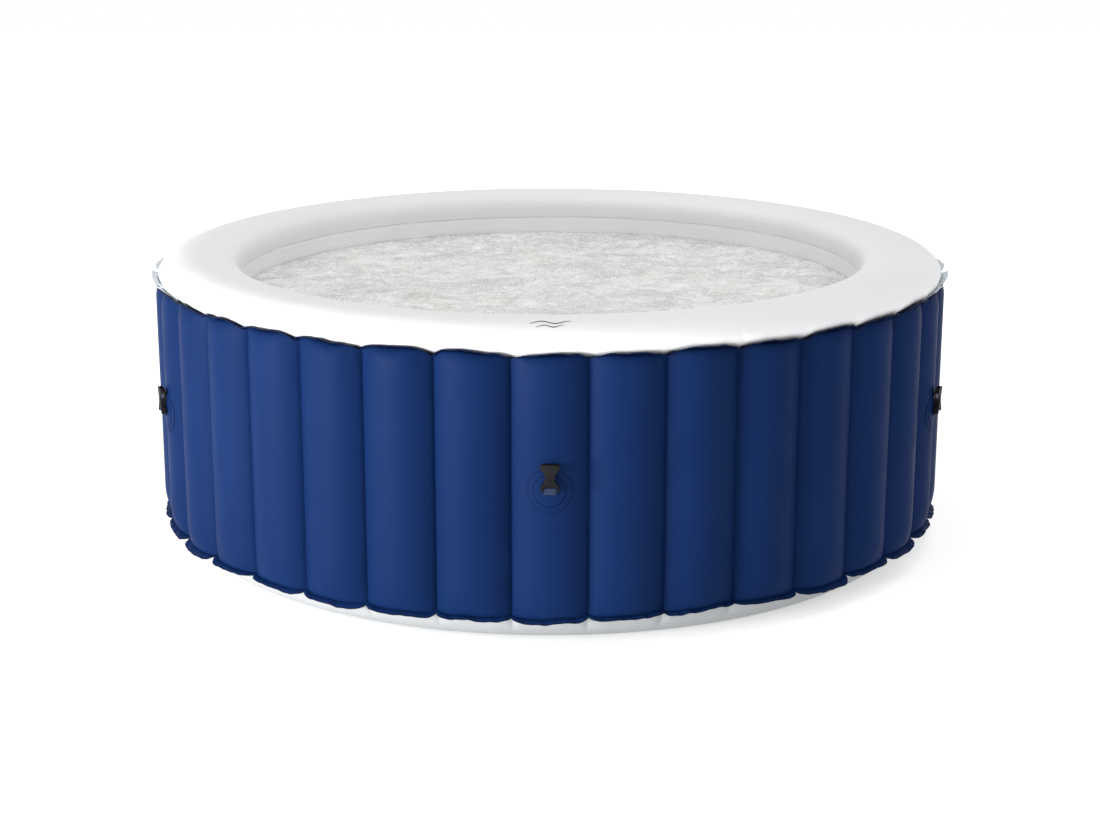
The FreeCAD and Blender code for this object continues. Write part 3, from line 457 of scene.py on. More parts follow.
# ------------------------------------------------------------- outer wall
def build_wall():
    per = 30
    th = flute_thetas(per)
    T = np.linspace(0, 1, 150)
    T = 0.5 - 0.5 * np.cos(T * math.pi)                   # rows closer together at the seams
    T = 0.6 * T + 0.4 * np.linspace(0, 1, len(T))
    thg, tg = np.meshgrid(th, T)
    r, z = wall_surface(thg, tg)
    obj = grid_object("wall_skin", around(thg, r, z), wrap_u=True)
    sol = obj.modifiers.new("thick", "SOLIDIFY")
    sol.thickness, sol.offset = 0.0012, -1
    apply_modifiers(obj)
    return ride(smooth_all(obj), "tub", navy, "navy_vinyl", "outer_wall")


wall_obj = build_wall()


# ------------------------------------------------------------------- flanges
def ribbon(name, th, inner, outer, thick, sag=0.0, columns=7):
    """A thin closed band round the tub between two edges, each (radius, height) arrays over th."""
    ri, zi = inner
    ro, zo = outer
    loop = []
    for f in np.linspace(0, 1, columns):
        dip = sag * 4 * f * (1 - f)
        loop.append((ri + (ro - ri) * f, zi + (zo - zi) * f - dip + thick / 2))
    loop.append((ro + thick * 0.35, zo))
    for f in np.linspace(1, 0, columns):
        dip = sag * 4 * f * (1 - f)
        loop.append((ri + (ro - ri) * f, zi + (zo - zi) * f - dip - thick / 2))
    loop.append((ri - thick * 0.35, zi))
    P = np.stack([around(th, r, z) for r, z in loop], axis=0)
    return grid_object(name, P, wrap_u=True, wrap_v=True, flip=True)


def build_top_flange():
    th = flute_thetas(44)
    k, local, s = flute_of(th)
    r, z = seam_top(th)
    w = 1 - np.abs(s) ** 4.6
    flutter = wave_sum(th, 41, (61, 103, 173, 247), (0.0007, 0.0007, 0.0006, 0.0004))
    ro = 0.8772 + (0.0142 + 0.0064 * np.abs(np.sin(th)) ** 5) * w + flutter * 0.6
    zo = z + (0.0062 + 0.0030 * np.abs(np.sin(th)) ** 5) * w + 0.0004 + flutter * 0.8
    # the clear strip lies hidden under the rim along the front and stands out at the sides and back
    side = np.clip((np.where(np.cos(th) > 0, np.abs(np.sin(th)), 1.0) - 0.86) / 0.12, 0, 1)
    side = side * side * (3 - 2 * side)
    rc = r + 0.0012 + (ro - r - 0.0012 + 0.0014) * side
    zc = z + 0.0010 + (zo - z + 0.0012) * side
    upper = ribbon("top_flange_upper", th, (r - 0.003, z + 0.0006), (rc, zc), 0.0010, 0.0004)
    ride(upper, "tub", clear_edge, "clear_vinyl", "top_seam_flange")
    # the lower layer is coloured darker navy: painted shade for the dark line under the flange's edge
    lower = ribbon("top_flange_lower", th, (r - 0.003, z - 0.0009), (ro - 0.0003, zo - 0.0008), 0.0016, 0.0006)
    ride(lower, "tub", navy_weld_and_shade, "navy_vinyl")


build_top_flange()


def build_low_flange():
    th = flute_thetas(44)
    k, local, s = flute_of(th)
    r, z = seam_low(th)
    w = 1 - np.abs(s) ** 8.0
    flutter = wave_sum(th, 43, (59, 113, 179, 241), (0.0008, 0.0008, 0.0006, 0.0005))
    drop = 0.0046 + low_drop[k] * 0.7 + low_tilt[k] * s * 0.9 + low_bump[k] * np.exp(-((s - low_bump_at[k]) / 0.3) ** 2)
    ro = 0.8700 + (0.0140 + 0.0070 * np.abs(np.sin(th)) ** 6) * w + flutter * 0.8
    zo = z - drop * (0.35 + 0.65 * w) + flutter * 0.8
    band = ribbon("low_flange", th, (r - 0.003, z), (ro, zo), 0.0018, -0.0010, 9)
    ride(band, "tub", navy, "navy_vinyl", "bottom_seam_flange")
    # a thin strip along the flange's outer edge in darker navy: painted shadow of the flange's underside
    cut = ribbon("low_flange_painted_shadow_edge", th, (ro - 0.0022, zo - 0.0001), (ro + 0.0014, zo - 0.0008), 0.0022, 0, 3)
    ride(cut, "tub", navy_weld_and_shade, "navy_vinyl")


build_low_flange()


# ----------------------------------------------------------------- white rim
def catmull(points, per):
    """Smooth curve through the points, (radius, height) rows."""
    p = np.array([points[0]] + list(points) + [points[-1]], dtype=np.float64)
    out = []
    for i in range(1, len(p) - 2):
        a, b, c, d = p[i - 1], p[i], p[i + 1], p[i + 2]
        for t in np.arange(per) / per:
            out.append(0.5 * ((2 * b) + (-a + c) * t + (2 * a - 5 * b + 4 * c - d) * t * t + (-a + 3 * b - 3 * c + d) * t ** 3))
    out.append(p[-2])
    return np.array(out)


RIM = [(0.8745, 0.5993), (0.8808, 0.6040), (0.8838, 0.6105), (0.8815, 0.6195), (0.8720, 0.6295), (0.8560, 0.6385),
       (0.8330, 0.6455), (0.8060, 0.6492), (0.7780, 0.6498), (0.7510, 0.6480), (0.7290, 0.6418), (0.7150, 0.6330),
       (0.7080, 0.6215), (0.7052, 0.6100), (0.7045, 0.5990), (0.7042, 0.5905)]


def build_rim():
    th = flute_thetas(30)
    k, local, s = flute_of(th)
    prof = catmull(RIM, 8)
    length = np.concatenate([[0], np.cumsum(np.hypot(*np.diff(prof, axis=0).T))])
    rt, zt = seam_top(th)
    dr, dz = rt - RIM[0][0], zt - RIM[0][1]
    fall = np.exp(-(length / 0.012) ** 1.5)
    R = prof[:, 0][:, None] + dr[None, :] * fall[:, None]
    Z = prof[:, 1][:, None] + dz[None, :] * fall[:, None]
    # soft puckers that run up from the seam and slow waves over the crown
    edge = np.exp(-(1 - np.abs(s)) / 0.10)
    fan = np.abs(wave_sum(th, 51, (144, 216, 288, 378), (0.5, 0.6, 0.5, 0.4)))
    fade = np.exp(-((length - 0.016) / 0.020) ** 2)
    R = R - fade[:, None] * (0.0004 * edge + 0.00022 * fan)[None, :]
    slow = wave_sum(th, 52, (5, 11, 17, 29, 36), (0.5, 0.35, 0.3, 0.2, 0.35))
    crown = np.exp(-((prof[:, 0] - 0.79) / 0.06) ** 2)
    Z = Z - 0.0007 * crown[:, None] * np.abs(slow)[None, :]
    lip = np.exp(-((length - length[-1]) / 0.05) ** 2)
    R = R + (0.0006 * wave_sum(th, 53, (36, 72, 23), (0.6, 0.3, 0.4)))[None, :] * lip[:, None]
    Z = np.minimum(Z, 0.6499)
    obj = grid_object("rim_skin", around(np.broadcast_to(th, R.shape), R, Z), wrap_u=True)
    sol = obj.modifiers.new("thick", "SOLIDIFY")
    sol.thickness, sol.offset = 0.0012, -1
    apply_modifiers(obj)
    return ride(smooth_all(obj), "tub", white, "white_vinyl", "top_rim"), prof


rim_obj, rim_profile = build_rim()


# ---------------------------------------------------------------- inner wall
def build_inner_wall():
    th = np.arange(720) / 720 * 2 * math.pi
    zs = np.concatenate([np.linspace(0.0035, 0.50, 24), np.linspace(0.505, 0.5905, 24)])
    thg, zg = np.meshgrid(th, zs)
    beam = np.cos(thg * FLUTES)
    r = POOL - 0.0009 * (0.5 + 0.5 * beam) * np.clip((0.585 - zg) / 0.08, 0, 1)
    r = r - 0.0004 * np.abs(wave_sum(thg, 61, (90, 131, 207), (0.5, 0.5, 0.4))) * np.exp(-(0.5905 - zg) / 0.03)
    obj = grid_object("pool_wall_skin", around(thg, r, zg), wrap_u=True, flip=True)
    sol = obj.modifiers.new("thick", "SOLIDIFY")
    sol.thickness, sol.offset = 0.0012, -1
    apply_modifiers(obj)
    ride(smooth_all(obj), "tub", inner_white, "grey_white_vinyl", "inner_wall")
    # weld tape over the joint, with a pressed edge line above it
    band = []
    hi = 0.5900 + wave_sum(th, 62, (3, 8, 21), (0.0005, 0.0004, 0.0003))
    lo = hi - 0.0145 + wave_sum(th, 63, (4, 9, 27), (0.0005, 0.0004, 0.0003))
    th2 = th
    rows = [(0.7052, hi + 0.0004), (0.7046, hi), (0.7045, hi - 0.0020), (0.7045, (hi + lo) / 2), (0.7045, lo + 0.0040),
            (0.7046, lo + 0.0012), (0.7048, lo - 0.0012), (0.7054, lo - 0.0030)]
    P = np.stack([around(th2, np.full_like(th2, a), b) for a, b in rows], axis=0)
    tape = grid_object("rim_weld_tape", P, wrap_u=True, wrap_v=True)
    ride(tape, "tub", inner_white, "white_vinyl", "inner_seam_band")
    for tag, zz, tint in (("upper", hi + 0.0011, weld_grey),):
        q = np.stack([around(th2, np.full_like(th2, a), zz + b) for a, b in
                      ((0.7046, 0.0006), (0.7040, 0.0004), (0.7038, 0.0), (0.7040, -0.0004), (0.7046, -0.0006), (0.7050, 0.0))], axis=0)
        line = grid_object("weld_line_" + tag, q, wrap_u=True, wrap_v=True)
        ride(line, "tub", tint, "white_vinyl")


weld_grey = vinyl("weld_line_vinyl", (0.44, 0.445, 0.46), (0.54, 0.545, 0.56), rough=0.4)
build_inner_wall()


# ---------------------------------------------------------------- white base
def build_base():
    th = flute_thetas(16)
    k, local, s = flute_of(th)
    rl, zl = seam_low(th)
    pts = [(0.8735, 0.0620)]
    for f in np.linspace(0.06, 1.0, 9):                    # a slack curve from the weld down to the ground
        a = math.radians(-2.0 - 74.0 * f)
        pts.append((0.7630 + 0.1125 * math.cos(a) + 0.0015 * f, 0.1091 + 0.1125 * math.sin(a)))
    pts = [q for q in pts if q[1] > 0.0006 and q[1] < 0.0615]
    pts = [(0.8735, 0.0620)] + pts + [(0.7840, 0.0003), (0.7700, 0.0), (0.7000, 0.0)]
    prof = catmull(pts, 9)
    prof[:, 1] = np.maximum(prof[:, 1], 0.0)
    length = np.concatenate([[0], np.cumsum(np.hypot(*np.diff(prof, axis=0).T))])
    fall = np.exp(-(length / 0.020) ** 1.5)
    R = prof[:, 0][:, None] + (rl - 0.8735)[None, :] * fall[:, None]
    Z = prof[:, 1][:, None] + (zl - 0.0620)[None, :] * fall[:, None]
    mid = np.exp(-((length - 0.026) / 0.022) ** 2)
    tuck = np.exp(-((1 - np.abs(s)) / 0.10) ** 2)
    waves = np.abs(wave_sum(th, 71, (36, 80, 133, 205), (0.4, 0.6, 0.5, 0.4)))
    R = R - mid[:, None] * (0.0020 * tuck + 0.0011 * waves)[None, :]
    obj = grid_object("base_skin", around(np.broadcast_to(th, R.shape), R, Z), wrap_u=True, flip=True)
    sol = obj.modifiers.new("thick", "SOLIDIFY")
    sol.thickness, sol.offset = 0.0012, -1
    apply_modifiers(obj)
    # the base's grey colour is painted shade
    ride(smooth_all(obj), "tub", base_painted_shade, "white_vinyl", "base_ring")


build_base()


# --------------------------------------------------------------------- water
def water_material():
    """Churned, aerated water: feathery white strands over pale grey."""
    m, nt, bsdf = new_material("frothy_water")
    vec = coords(nt)
    tint = noise(nt, vec, 8.0, 3, 0.5, 0.6)
    shift = nd(nt, "ShaderNodeTexNoise")
    shift.inputs["Scale"].default_value = 11.0
    shift.inputs["Detail"].default_value = 3.0
    nt.links.new(vec, shift.inputs["Vector"])
    centred = nd(nt, "ShaderNodeVectorMath", operation="SUBTRACT")
    centred.inputs[1].default_value = (0.5, 0.5, 0.5)
    nt.links.new(shift.outputs["Color"], centred.inputs[0])
    scaled = nd(nt, "ShaderNodeVectorMath", operation="SCALE")
    scaled.inputs["Scale"].default_value = 0.11
    nt.links.new(centred.outputs["Vector"], scaled.inputs[0])
    warped = nd(nt, "ShaderNodeVectorMath", operation="ADD")
    nt.links.new(vec, warped.inputs[0])
    nt.links.new(scaled.outputs["Vector"], warped.inputs[1])
    w = warped.outputs["Vector"]
    cloud = noise(nt, w, 10.0, 9, 0.64, 1.0)
    strand = noise(nt, w, 30.0, 7, 0.62, 1.6)
    feather = noise(nt, w, 78.0, 5, 0.6, 1.8)

    def ridge(n, thin=9.0):
        d = math_node(nt, "ABSOLUTE", math_node(nt, "SUBTRACT", math_node(nt, "MULTIPLY", n, 2.0), 1.0))
        return math_node(nt, "MAXIMUM", math_node(nt, "SUBTRACT", 1.0, math_node(nt, "MULTIPLY", d, thin)), 0.0)

    mix = math_node(nt, "MULTIPLY", cloud, 0.68)
    mix = math_node(nt, "ADD", mix, math_node(nt, "MULTIPLY", ridge(strand, 8.0), 0.20))
    mix = math_node(nt, "ADD", mix, math_node(nt, "MULTIPLY", ridge(feather, 8.0), 0.20))
    foam = ramp(nt, mix, [(0.22, (0.47, 0.475, 0.472)), (0.36, (0.575, 0.58, 0.58)), (0.47, (0.68, 0.683, 0.685)), (0.62, (0.95, 0.95, 0.952))])
    warm = ramp(nt, tint, [(0.34, (0.955, 0.945, 0.915)), (0.46, (1.0, 1.0, 1.0))])
    mul = nd(nt, "ShaderNodeMix", data_type="RGBA", blend_type="MULTIPLY")
    mul.inputs["Factor"].default_value = 1.0
    nt.links.new(foam, mul.inputs["A"])
    nt.links.new(warm, mul.inputs["B"])
    nt.links.new(mul.outputs["Result"], bsdf.inputs["Base Color"])
    nt.links.new(remap(nt, mix, 0.25, 0.6, 0.16, 0.5), bsdf.inputs["Roughness"])
    n1 = bump(nt, ridge(strand), 0.5, 0.0016)
    nt.links.new(bump(nt, ridge(feather), 0.45, 0.0007, n1), bsdf.inputs["Normal"])
    bsdf.inputs["IOR"].default_value = 1.33
    bsdf.inputs["Specular IOR Level"].default_value = 0.5
    return m


froth = water_material()


def build_water():
    rings, cols = 230, 760
    rad = np.linspace(0.0, 1.0, rings) ** 0.75 * (POOL - 0.0014)
    th = np.arange(cols) / cols * 2 * math.pi
    thg, rg = np.meshgrid(th, rad)
    x, y = rg * np.cos(thg), rg * np.sin(thg)
    wx = x + 0.030 * fbm(x * 9, y * 9, 101, 3)
    wy = y + 0.030 * fbm(x * 9 + 5, y * 9 - 3, 131, 3)
    big = fbm(wx * 11, wy * 11, 151, 3)
    mid = fbm(wx * 30, wy * 30, 171, 4, ridged=True)
    fine = fbm(wx * 85, wy * 85, 191, 3, ridged=True)
    h = 0.0052 * big + 0.0030 * mid * (0.6 + 0.4 * big) + 0.0010 * fine
    h = h * np.clip((POOL - rg) / 0.05, 0.55, 1)
    z = WATER + h
    P = np.stack([x, y, z], axis=-1)
    top = grid_object("frothy_water", P, wrap_u=True, flip=True)
    bm = bmesh.new()
    bm.from_mesh(top.data)
    bmesh.ops.remove_doubles(bm, verts=bm.verts, dist=1e-6)
    bm.normal_update()
    bm.to_mesh(top.data)
    bm.free()
    sol = top.modifiers.new("thick", "SOLIDIFY")
    sol.thickness, sol.offset = 0.030, -1
    apply_modifiers(top)
    ride(smooth_all(top), "tub", froth, "grey_white_vinyl")


build_water()


# ------------------------------------------------------------------- patches
def place(flute, along, height, out=0.0):
    """A point on a flute: along it sideways, at a height, and out from its skin."""
    th = flute * STEP + np.arcsin(np.clip(along / 0.892, -1, 1))
    t = (height - 0.0636) / (0.5976 - 0.0636)
    r, z = wall_surface(th, np.asarray(t, dtype=np.float64))
    # the skin's own height differs a little from the wanted one, so only its radius is used
    local = th - flute * STEP
    # outward normal of the flute's arc
    base = around(th, r, np.asarray(height, dtype=np.float64))
    c = around(np.asarray(flute * STEP * 1.0), np.asarray(AXIS), np.asarray(0.0))
    n = base - c
    n[..., 2] = 0
    n /= np.linalg.norm(n, axis=-1, keepdims=True)
    return base + n * np.asarray(out)[..., None]


def build_patches():
    objs = []
    prof = [(0.0, 2.3), (6.0, 2.3), (14.0, 2.25), (22.0, 2.2), (28.0, 2.1), (29.6, 2.0), (30.4, 1.5), (30.9, 0.95), (31.6, 0.75), (33.0, 0.85),
            (34.0, 1.1), (36.0, 1.1), (39.0, 1.05), (39.8, 0.85), (40.3, 0.60), (40.9, 0.62), (41.5, 1.0), (42.3, 1.1), (43.2, 0.95), (43.8, 0.4), (44.0, -0.6)]
    for where, flute in BUCKLES:
        cols = 120
        a = np.arange(cols) / cols * 2 * math.pi
        rho = np.array([p[0] for p in prof]) / 1000
        h = np.array([p[1] for p in prof]) / 1000
        rho[0] = 0.0004
        ag, rg = np.meshgrid(a, rho)
        hg = np.broadcast_to(h[:, None], ag.shape).copy()
        hg = hg + 0.00012 * np.sin(ag * 9 + flute) * (rg > 0.031)
        P = place(flute, rg * np.cos(ag), 0.332 + rg * np.sin(ag), hg)
        o = grid_object("patch_%s" % where, P, wrap_u=True, flip=False)
        bm = bmesh.new()
        bm.from_mesh(o.data)
        edge = [v for v in bm.verts if v.is_boundary]
        centre = [v for v in edge if v.index < cols]
        bmesh.ops.contextual_create(bm, geom=centre)
        bmesh.ops.recalc_face_normals(bm, faces=bm.faces)
        bm.to_mesh(o.data)
        bm.free()
        objs.append(o)
    o = join("buckle_patch_discs", objs)
    ride(smooth_all(o), "tub", navy, "navy_vinyl", "buckle_patches")


build_patches()


def build_patch_welds():
    """The pressed rings left by the welding tool round each patch."""
    objs = []
    a = np.arange(140) / 140 * 2 * math.pi
    for where, flute in BUCKLES:
        for rho, h in ((0.0315, 0.00085), (0.0436, 0.00045)):
            rows = []
            for dr, dh in ((-0.00085, 0.0), (-0.0004, 0.00042), (0.0004, 0.00042), (0.00085, 0.0), (0.0, -0.0005)):
                r = (rho + dr) * (1 + 0.004 * np.sin(a * 5 + flute))
                rows.append(place(flute, r * np.cos(a), 0.332 + r * np.sin(a), np.full_like(a, h + dh)))
            objs.append(grid_object("weld_%s" % where, np.stack(rows), wrap_u=True, wrap_v=True))
    o = join("patch_weld_rings", objs)
    bm = bmesh.new()
    bm.from_mesh(o.data)
    bmesh.ops.recalc_face_normals(bm, faces=bm.faces)
    bm.to_mesh(o.data)
    bm.free()
    ride(smooth_all(o), "tub", navy_weld_and_shade, "navy_vinyl")


build_patch_welds()


# ------------------------------------------------------------------- buckles
def local_frame(flute, centre_r=0.9014, centre_z=0.338):
    """Matrix from a buckle's own frame (x along the wall, y out from it, z up, origin at its bar) to the tub's."""
    a = flute * STEP - math.pi / 2
    out = Vector((math.cos(a), math.sin(a), 0))
    side = Vector((-math.sin(a), math.cos(a), 0))
    m = Matrix((side, out, Vector((0, 0, 1)))).transposed().to_4x4()
    m.translation = out * centre_r + Vector((0, 0, centre_z))
    return m


def prism(name, outline, y0, y1):
    """A solid from an outline in x, z pushed along y."""
    n = len(outline)
    verts = [(x, y0, z) for x, z in outline] + [(x, y1, z) for x, z in outline]
    faces = [tuple(range(n)), tuple(range(2 * n - 1, n - 1, -1))]
    faces += [(i, i + n, (i + 1) % n + n, (i + 1) % n) for i in range(n)]
    o = mesh_object(name, verts, faces, smooth=False)
    bm = bmesh.new()
    bm.from_mesh(o.data)
    bmesh.ops.recalc_face_normals(bm, faces=bm.faces)
    bm.to_mesh(o.data)
    bm.free()
    return o


def rounded(points, radius, seg=5):
    """Outline with each corner rounded."""
    out = []
    n = len(points)
    for i in range(n):
        p, a, b = (Vector(points[j % n]) for j in (i, i - 1, i + 1))
        u, v = (a - p), (b - p)
        d = min(radius, u.length * 0.45, v.length * 0.45)
        u.normalize(); v.normalize()
        s, e = p + u * d, p + v * d
        for t in np.linspace(0, 1, seg + 1):
            q = s * (1 - t) ** 2 + p * 2 * t * (1 - t) + e * t * t
            out.append((q.x, q.y))
    return out


def tube_mesh(name, r, x0, x1, y=0.0, z=0.0, seg=28):
    rows = []
    a = np.arange(seg) / seg * 2 * math.pi
    c = min(0.0004, r * 0.3)
    for x, rr in ((x0, r * 0.02), (x0, r - c), (x0 + c, r), (x1 - c, r), (x1, r - c), (x1, r * 0.02)):
        rows.append(np.stack([np.full(seg, x), y + rr * np.cos(a), z + rr * np.sin(a)], axis=-1))
    o = grid_object(name, np.stack(rows), wrap_u=True)
    bm = bmesh.new()
    bm.from_mesh(o.data)
    bmesh.ops.holes_fill(bm, edges=[e for e in bm.edges if e.is_boundary], sides=0)
    bmesh.ops.recalc_face_normals(bm, faces=bm.faces)
    bm.to_mesh(o.data)
    bm.free()
    return o


def boolean(obj, tool, op="DIFFERENCE"):
    m = obj.modifiers.new("b", "BOOLEAN")
    m.operation, m.object, m.solver = op, tool, "EXACT"
    apply_modifiers(obj)
    bpy.data.objects.remove(tool)
    return obj


def build_buckle_mesh():
    """Female half of a side-release buckle, in millimetres, at the bar."""
    top = 50.0
    right = [(16.5, top), (18.8, top - 2.6), (18.8, top - 7.0), (17.6, top - 10.5), (13.6, top - 14.5), (10.6, top - 19.5), (9.6, top - 25.0), (9.6, 17.5),
             (11.2, 13.5), (14.8, 10.6), (17.6, 7.6), (17.6, -4.6), (13.0, -4.6), (13.0, 5.4)]
    out = [(-x, z) for x, z in right] + right[::-1]
    body = prism("buckle_body", rounded(out, 1.6, 4), -5.5, 5.5)
    bev = body.modifiers.new("bev", "BEVEL")
    bev.width, bev.segments, bev.limit_method, bev.angle_limit = 1.5, 4, "ANGLE", math.radians(50)
    apply_modifiers(body)
    # mouth
    mouth = prism("mouth", rounded([(-15.6, top + 4), (-15.6, top - 26), (15.6, top - 26), (15.6, top + 4)], 1.0, 3), -3.3, 3.3)
    boolean(body, mouth)
    # side openings for the prongs, right through the outline's flanks
    for sgn in (-1, 1):
        win = prism("win", rounded([(sgn * 24, top - 9.5), (sgn * 24, top - 26), (sgn * 6.4, top - 26), (sgn * 8.0, top - 9.5)][::sgn], 1.4, 4), -3.3, 3.3)
        boolean(body, win)
    # scooped finger hollows on the two faces beside the neck
    for sgn in (-1, 1):
        for side in (-1, 1):
            a = np.linspace(0, 2 * math.pi, 33)[:-1]
            scoop = prism("scoop", [(sgn * 14.2 + 5.2 * math.cos(t), 26.5 + 9.0 * math.sin(t)) for t in a], side * 4.4, side * 9)
            boolean(body, scoop)
    # rounded eye ends about the bar
    parts = [body]
    for sgn in (-1, 1):
        ear = tube_mesh("ear", 5.4, min(sgn * 13.0, sgn * 18.0), max(sgn * 13.0, sgn * 18.0))
        parts.append(ear)
    parts.append(tube_mesh("bar", 2.2, -14.0, 14.0))
    # centre guide rib inside the mouth, and two raised grip ribs on each face
    rib = prism("rib", rounded([(-1.2, top - 2), (-1.2, top - 8), (1.2, top - 8), (1.2, top - 2)], 0.4, 2), -3.4, 3.4)
    parts.append(rib)
    for side in (-1, 1):
        for zz in (18.6, 22.0, 25.4):
            g = prism("grip", rounded([(-6.4, zz - 0.75), (6.4, zz - 0.75), (6.4, zz + 0.75), (-6.4, zz + 0.75)], 0.5, 2), side * 5.2 - 0.55, side * 5.2 + 0.55)
            b = g.modifiers.new("bev", "BEVEL")
            b.width, b.segments = 0.35, 2
            apply_modifiers(g)
            parts.append(g)
    whole = join("buckle_master", parts)
    smooth_all(whole, 34)
    return whole


buckle_master = build_buckle_mesh()
for where, flute in BUCKLES:
    me = buckle_master.data.copy()
    me.transform(local_frame(flute) @ Matrix.Scale(0.001, 4))
    o = link(bpy.data.objects.new("cover_buckle_%s" % where, me))
    ride(o, "buckle_" + where, black_plastic, "black_plastic", "buckle_" + where)
bpy.data.objects.remove(buckle_master)


# --------------------------------------------------------- webbing loops
def build_straps():
    """A flat woven loop round each buckle's bar; its two layers run down under the patch's inner disc."""
    objs = []
    inner, thick, half = 2.45, 1.35, 12.0
    mid = inner + thick / 2
    path = []                                      # (y, z) of the loop's middle line: back layer up, round the bar, front layer down
    for z in np.linspace(-11.5, -1.5, 9):
        path.append((-4.95 + 1.6 * max(0.0, (z + 4.0) / 4.0) ** 2, z))
    for a in np.linspace(math.radians(190), math.radians(-105), 30):
        path.append((mid * math.cos(a), mid * math.sin(a)))
    for z in np.linspace(-4.0, -11.5, 9):
        f = min(1.0, (-3.4 - z) / 2.6)
        path.append((-1.5 - 2.05 * (3 * f * f - 2 * f ** 3), z))
    path = np.array(path)
    # smooth the line a little
    for _ in range(3):
        path[1:-1] = (path[:-2] + 2 * path[1:-1] + path[2:]) / 4
    tangent = np.gradient(path, axis=0)
    tangent /= np.linalg.norm(tangent, axis=1, keepdims=True)
    normal = np.stack([-tangent[:, 1], tangent[:, 0]], axis=1)
    xs = np.linspace(-half, half, 9)
    loops = []
    for p, n in zip(path, normal):
        ring = []
        for x in xs:
            edge = 1 - 0.45 * (abs(x) / half) ** 8
            ring.append((x, *(p + n * thick / 2 * edge)))
        for x in xs[::-1]:
            edge = 1 - 0.45 * (abs(x) / half) ** 8
            ring.append((x, *(p - n * thick / 2 * edge)))
        loops.append(ring)
    P = np.array(loops)
    for where, flute in BUCKLES:
        o = grid_object("strap_%s" % where, P, wrap_u=True)
        bm = bmesh.new()
        bm.from_mesh(o.data)
        bmesh.ops.holes_fill(bm, edges=[e for e in bm.edges if e.is_boundary], sides=0)
        bmesh.ops.recalc_face_normals(bm, faces=bm.faces)
        bm.to_mesh(o.data)
        bm.free()
        o.data.transform(local_frame(flute) @ Matrix.Scale(0.001, 4))
        objs.append(o)
    o = join("buckle_webbing", objs)
    ride(smooth_all(o, 50), "tub", webbing, "webbing", "buckle_straps")


build_straps()


# ------------------------------------------- moulded detail on the fittings
def fitting_frame(flute, height):
    """Matrix from a fitting's own frame (z out along its axis, origin on the tub's centre line) to the tub's."""
    a = flute * STEP - math.pi / 2
    out = Vector((math.cos(a), math.sin(a), 0))
    side = Vector((-math.sin(a), math.cos(a), 0))
    m = Matrix((side, Vector((0, 0, 1)), out)).transposed().to_4x4()
    m.translation = Vector((0, 0, height))
    return m


def lathe_ring(name, loop, cols=96, ribs=0, rib_high=0.0):
    """A closed ring from a loop of (radius, outward) points in millimetres; ribs raises its outer points in waves."""
    a = np.arange(cols) / cols * 2 * math.pi
    rows = []
    big = max(r for r, _ in loop)
    for r, z in loop:
        lift = rib_high * np.clip(np.cos(a * ribs) * 1.6, 0, 1) if ribs and r > big - 0.6 else 0.0
        rr = r + lift
        rows.append(np.stack([rr * np.cos(a), rr * np.sin(a), np.full(cols, float(z))], axis=-1))
    o = grid_object(name, np.stack(rows), wrap_u=True, wrap_v=True)
    bm = bmesh.new()
    bm.from_mesh(o.data)
    bmesh.ops.recalc_face_normals(bm, faces=bm.faces)
    bm.to_mesh(o.data)
    bm.free()
    return o


def thread(name, radius, z0, z1, pitch, high):
    """A helical ridge that fades in and out at its ends."""
    turns = (z1 - z0) / pitch
    n = int(turns * 56)
    t = np.linspace(0, 1, n)
    a = t * turns * 2 * math.pi
    z = z0 + (z1 - z0) * t
    h = high * np.clip(np.minimum(t, 1 - t) * turns * 3.0, 0.02, 1)
    half = pitch * 0.30
    cross = [(-half, -0.35), (-half * 0.45, 1.0), (half * 0.45, 1.0), (half, -0.35)]
    P = np.zeros((n, 4, 3))
    for j, (dz, f) in enumerate(cross):
        r = radius + (h * f if f > 0 else f)
        P[:, j, 0], P[:, j, 1], P[:, j, 2] = r * np.cos(a), r * np.sin(a), z + dz
    o = grid_object(name, P, wrap_u=True)
    bm = bmesh.new()
    bm.from_mesh(o.data)
    bmesh.ops.holes_fill(bm, edges=[e for e in bm.edges if e.is_boundary], sides=0)
    bmesh.ops.recalc_face_normals(bm, faces=bm.faces)
    bm.to_mesh(o.data)
    bm.free()
    return smooth_all(o, 40)


def put(name, parts, flute, height, body, material, slot):
    o = join(name, parts)
    o.data.transform(fitting_frame(flute, height) @ Matrix.Scale(0.001, 4))
    smooth_all(o, 38)
    return ride(o, body, material, slot)


def rounded_rim(r, z0, z1, cut=1.4, inset=5.0):
    """Loop of a rim band: its outer corner is rounded, its inner edge lies in the disc."""
    loop = [(r - inset, z0), (r + 0.35, z0)]
    for t in np.linspace(0, math.pi / 2, 5):
        loop.append((r + 0.35 - cut + cut * math.cos(t), z1 - cut + cut * math.sin(t)))
    loop += [(r - inset + 0.8, z1), (r - inset, z1 - 0.7)]
    return loop


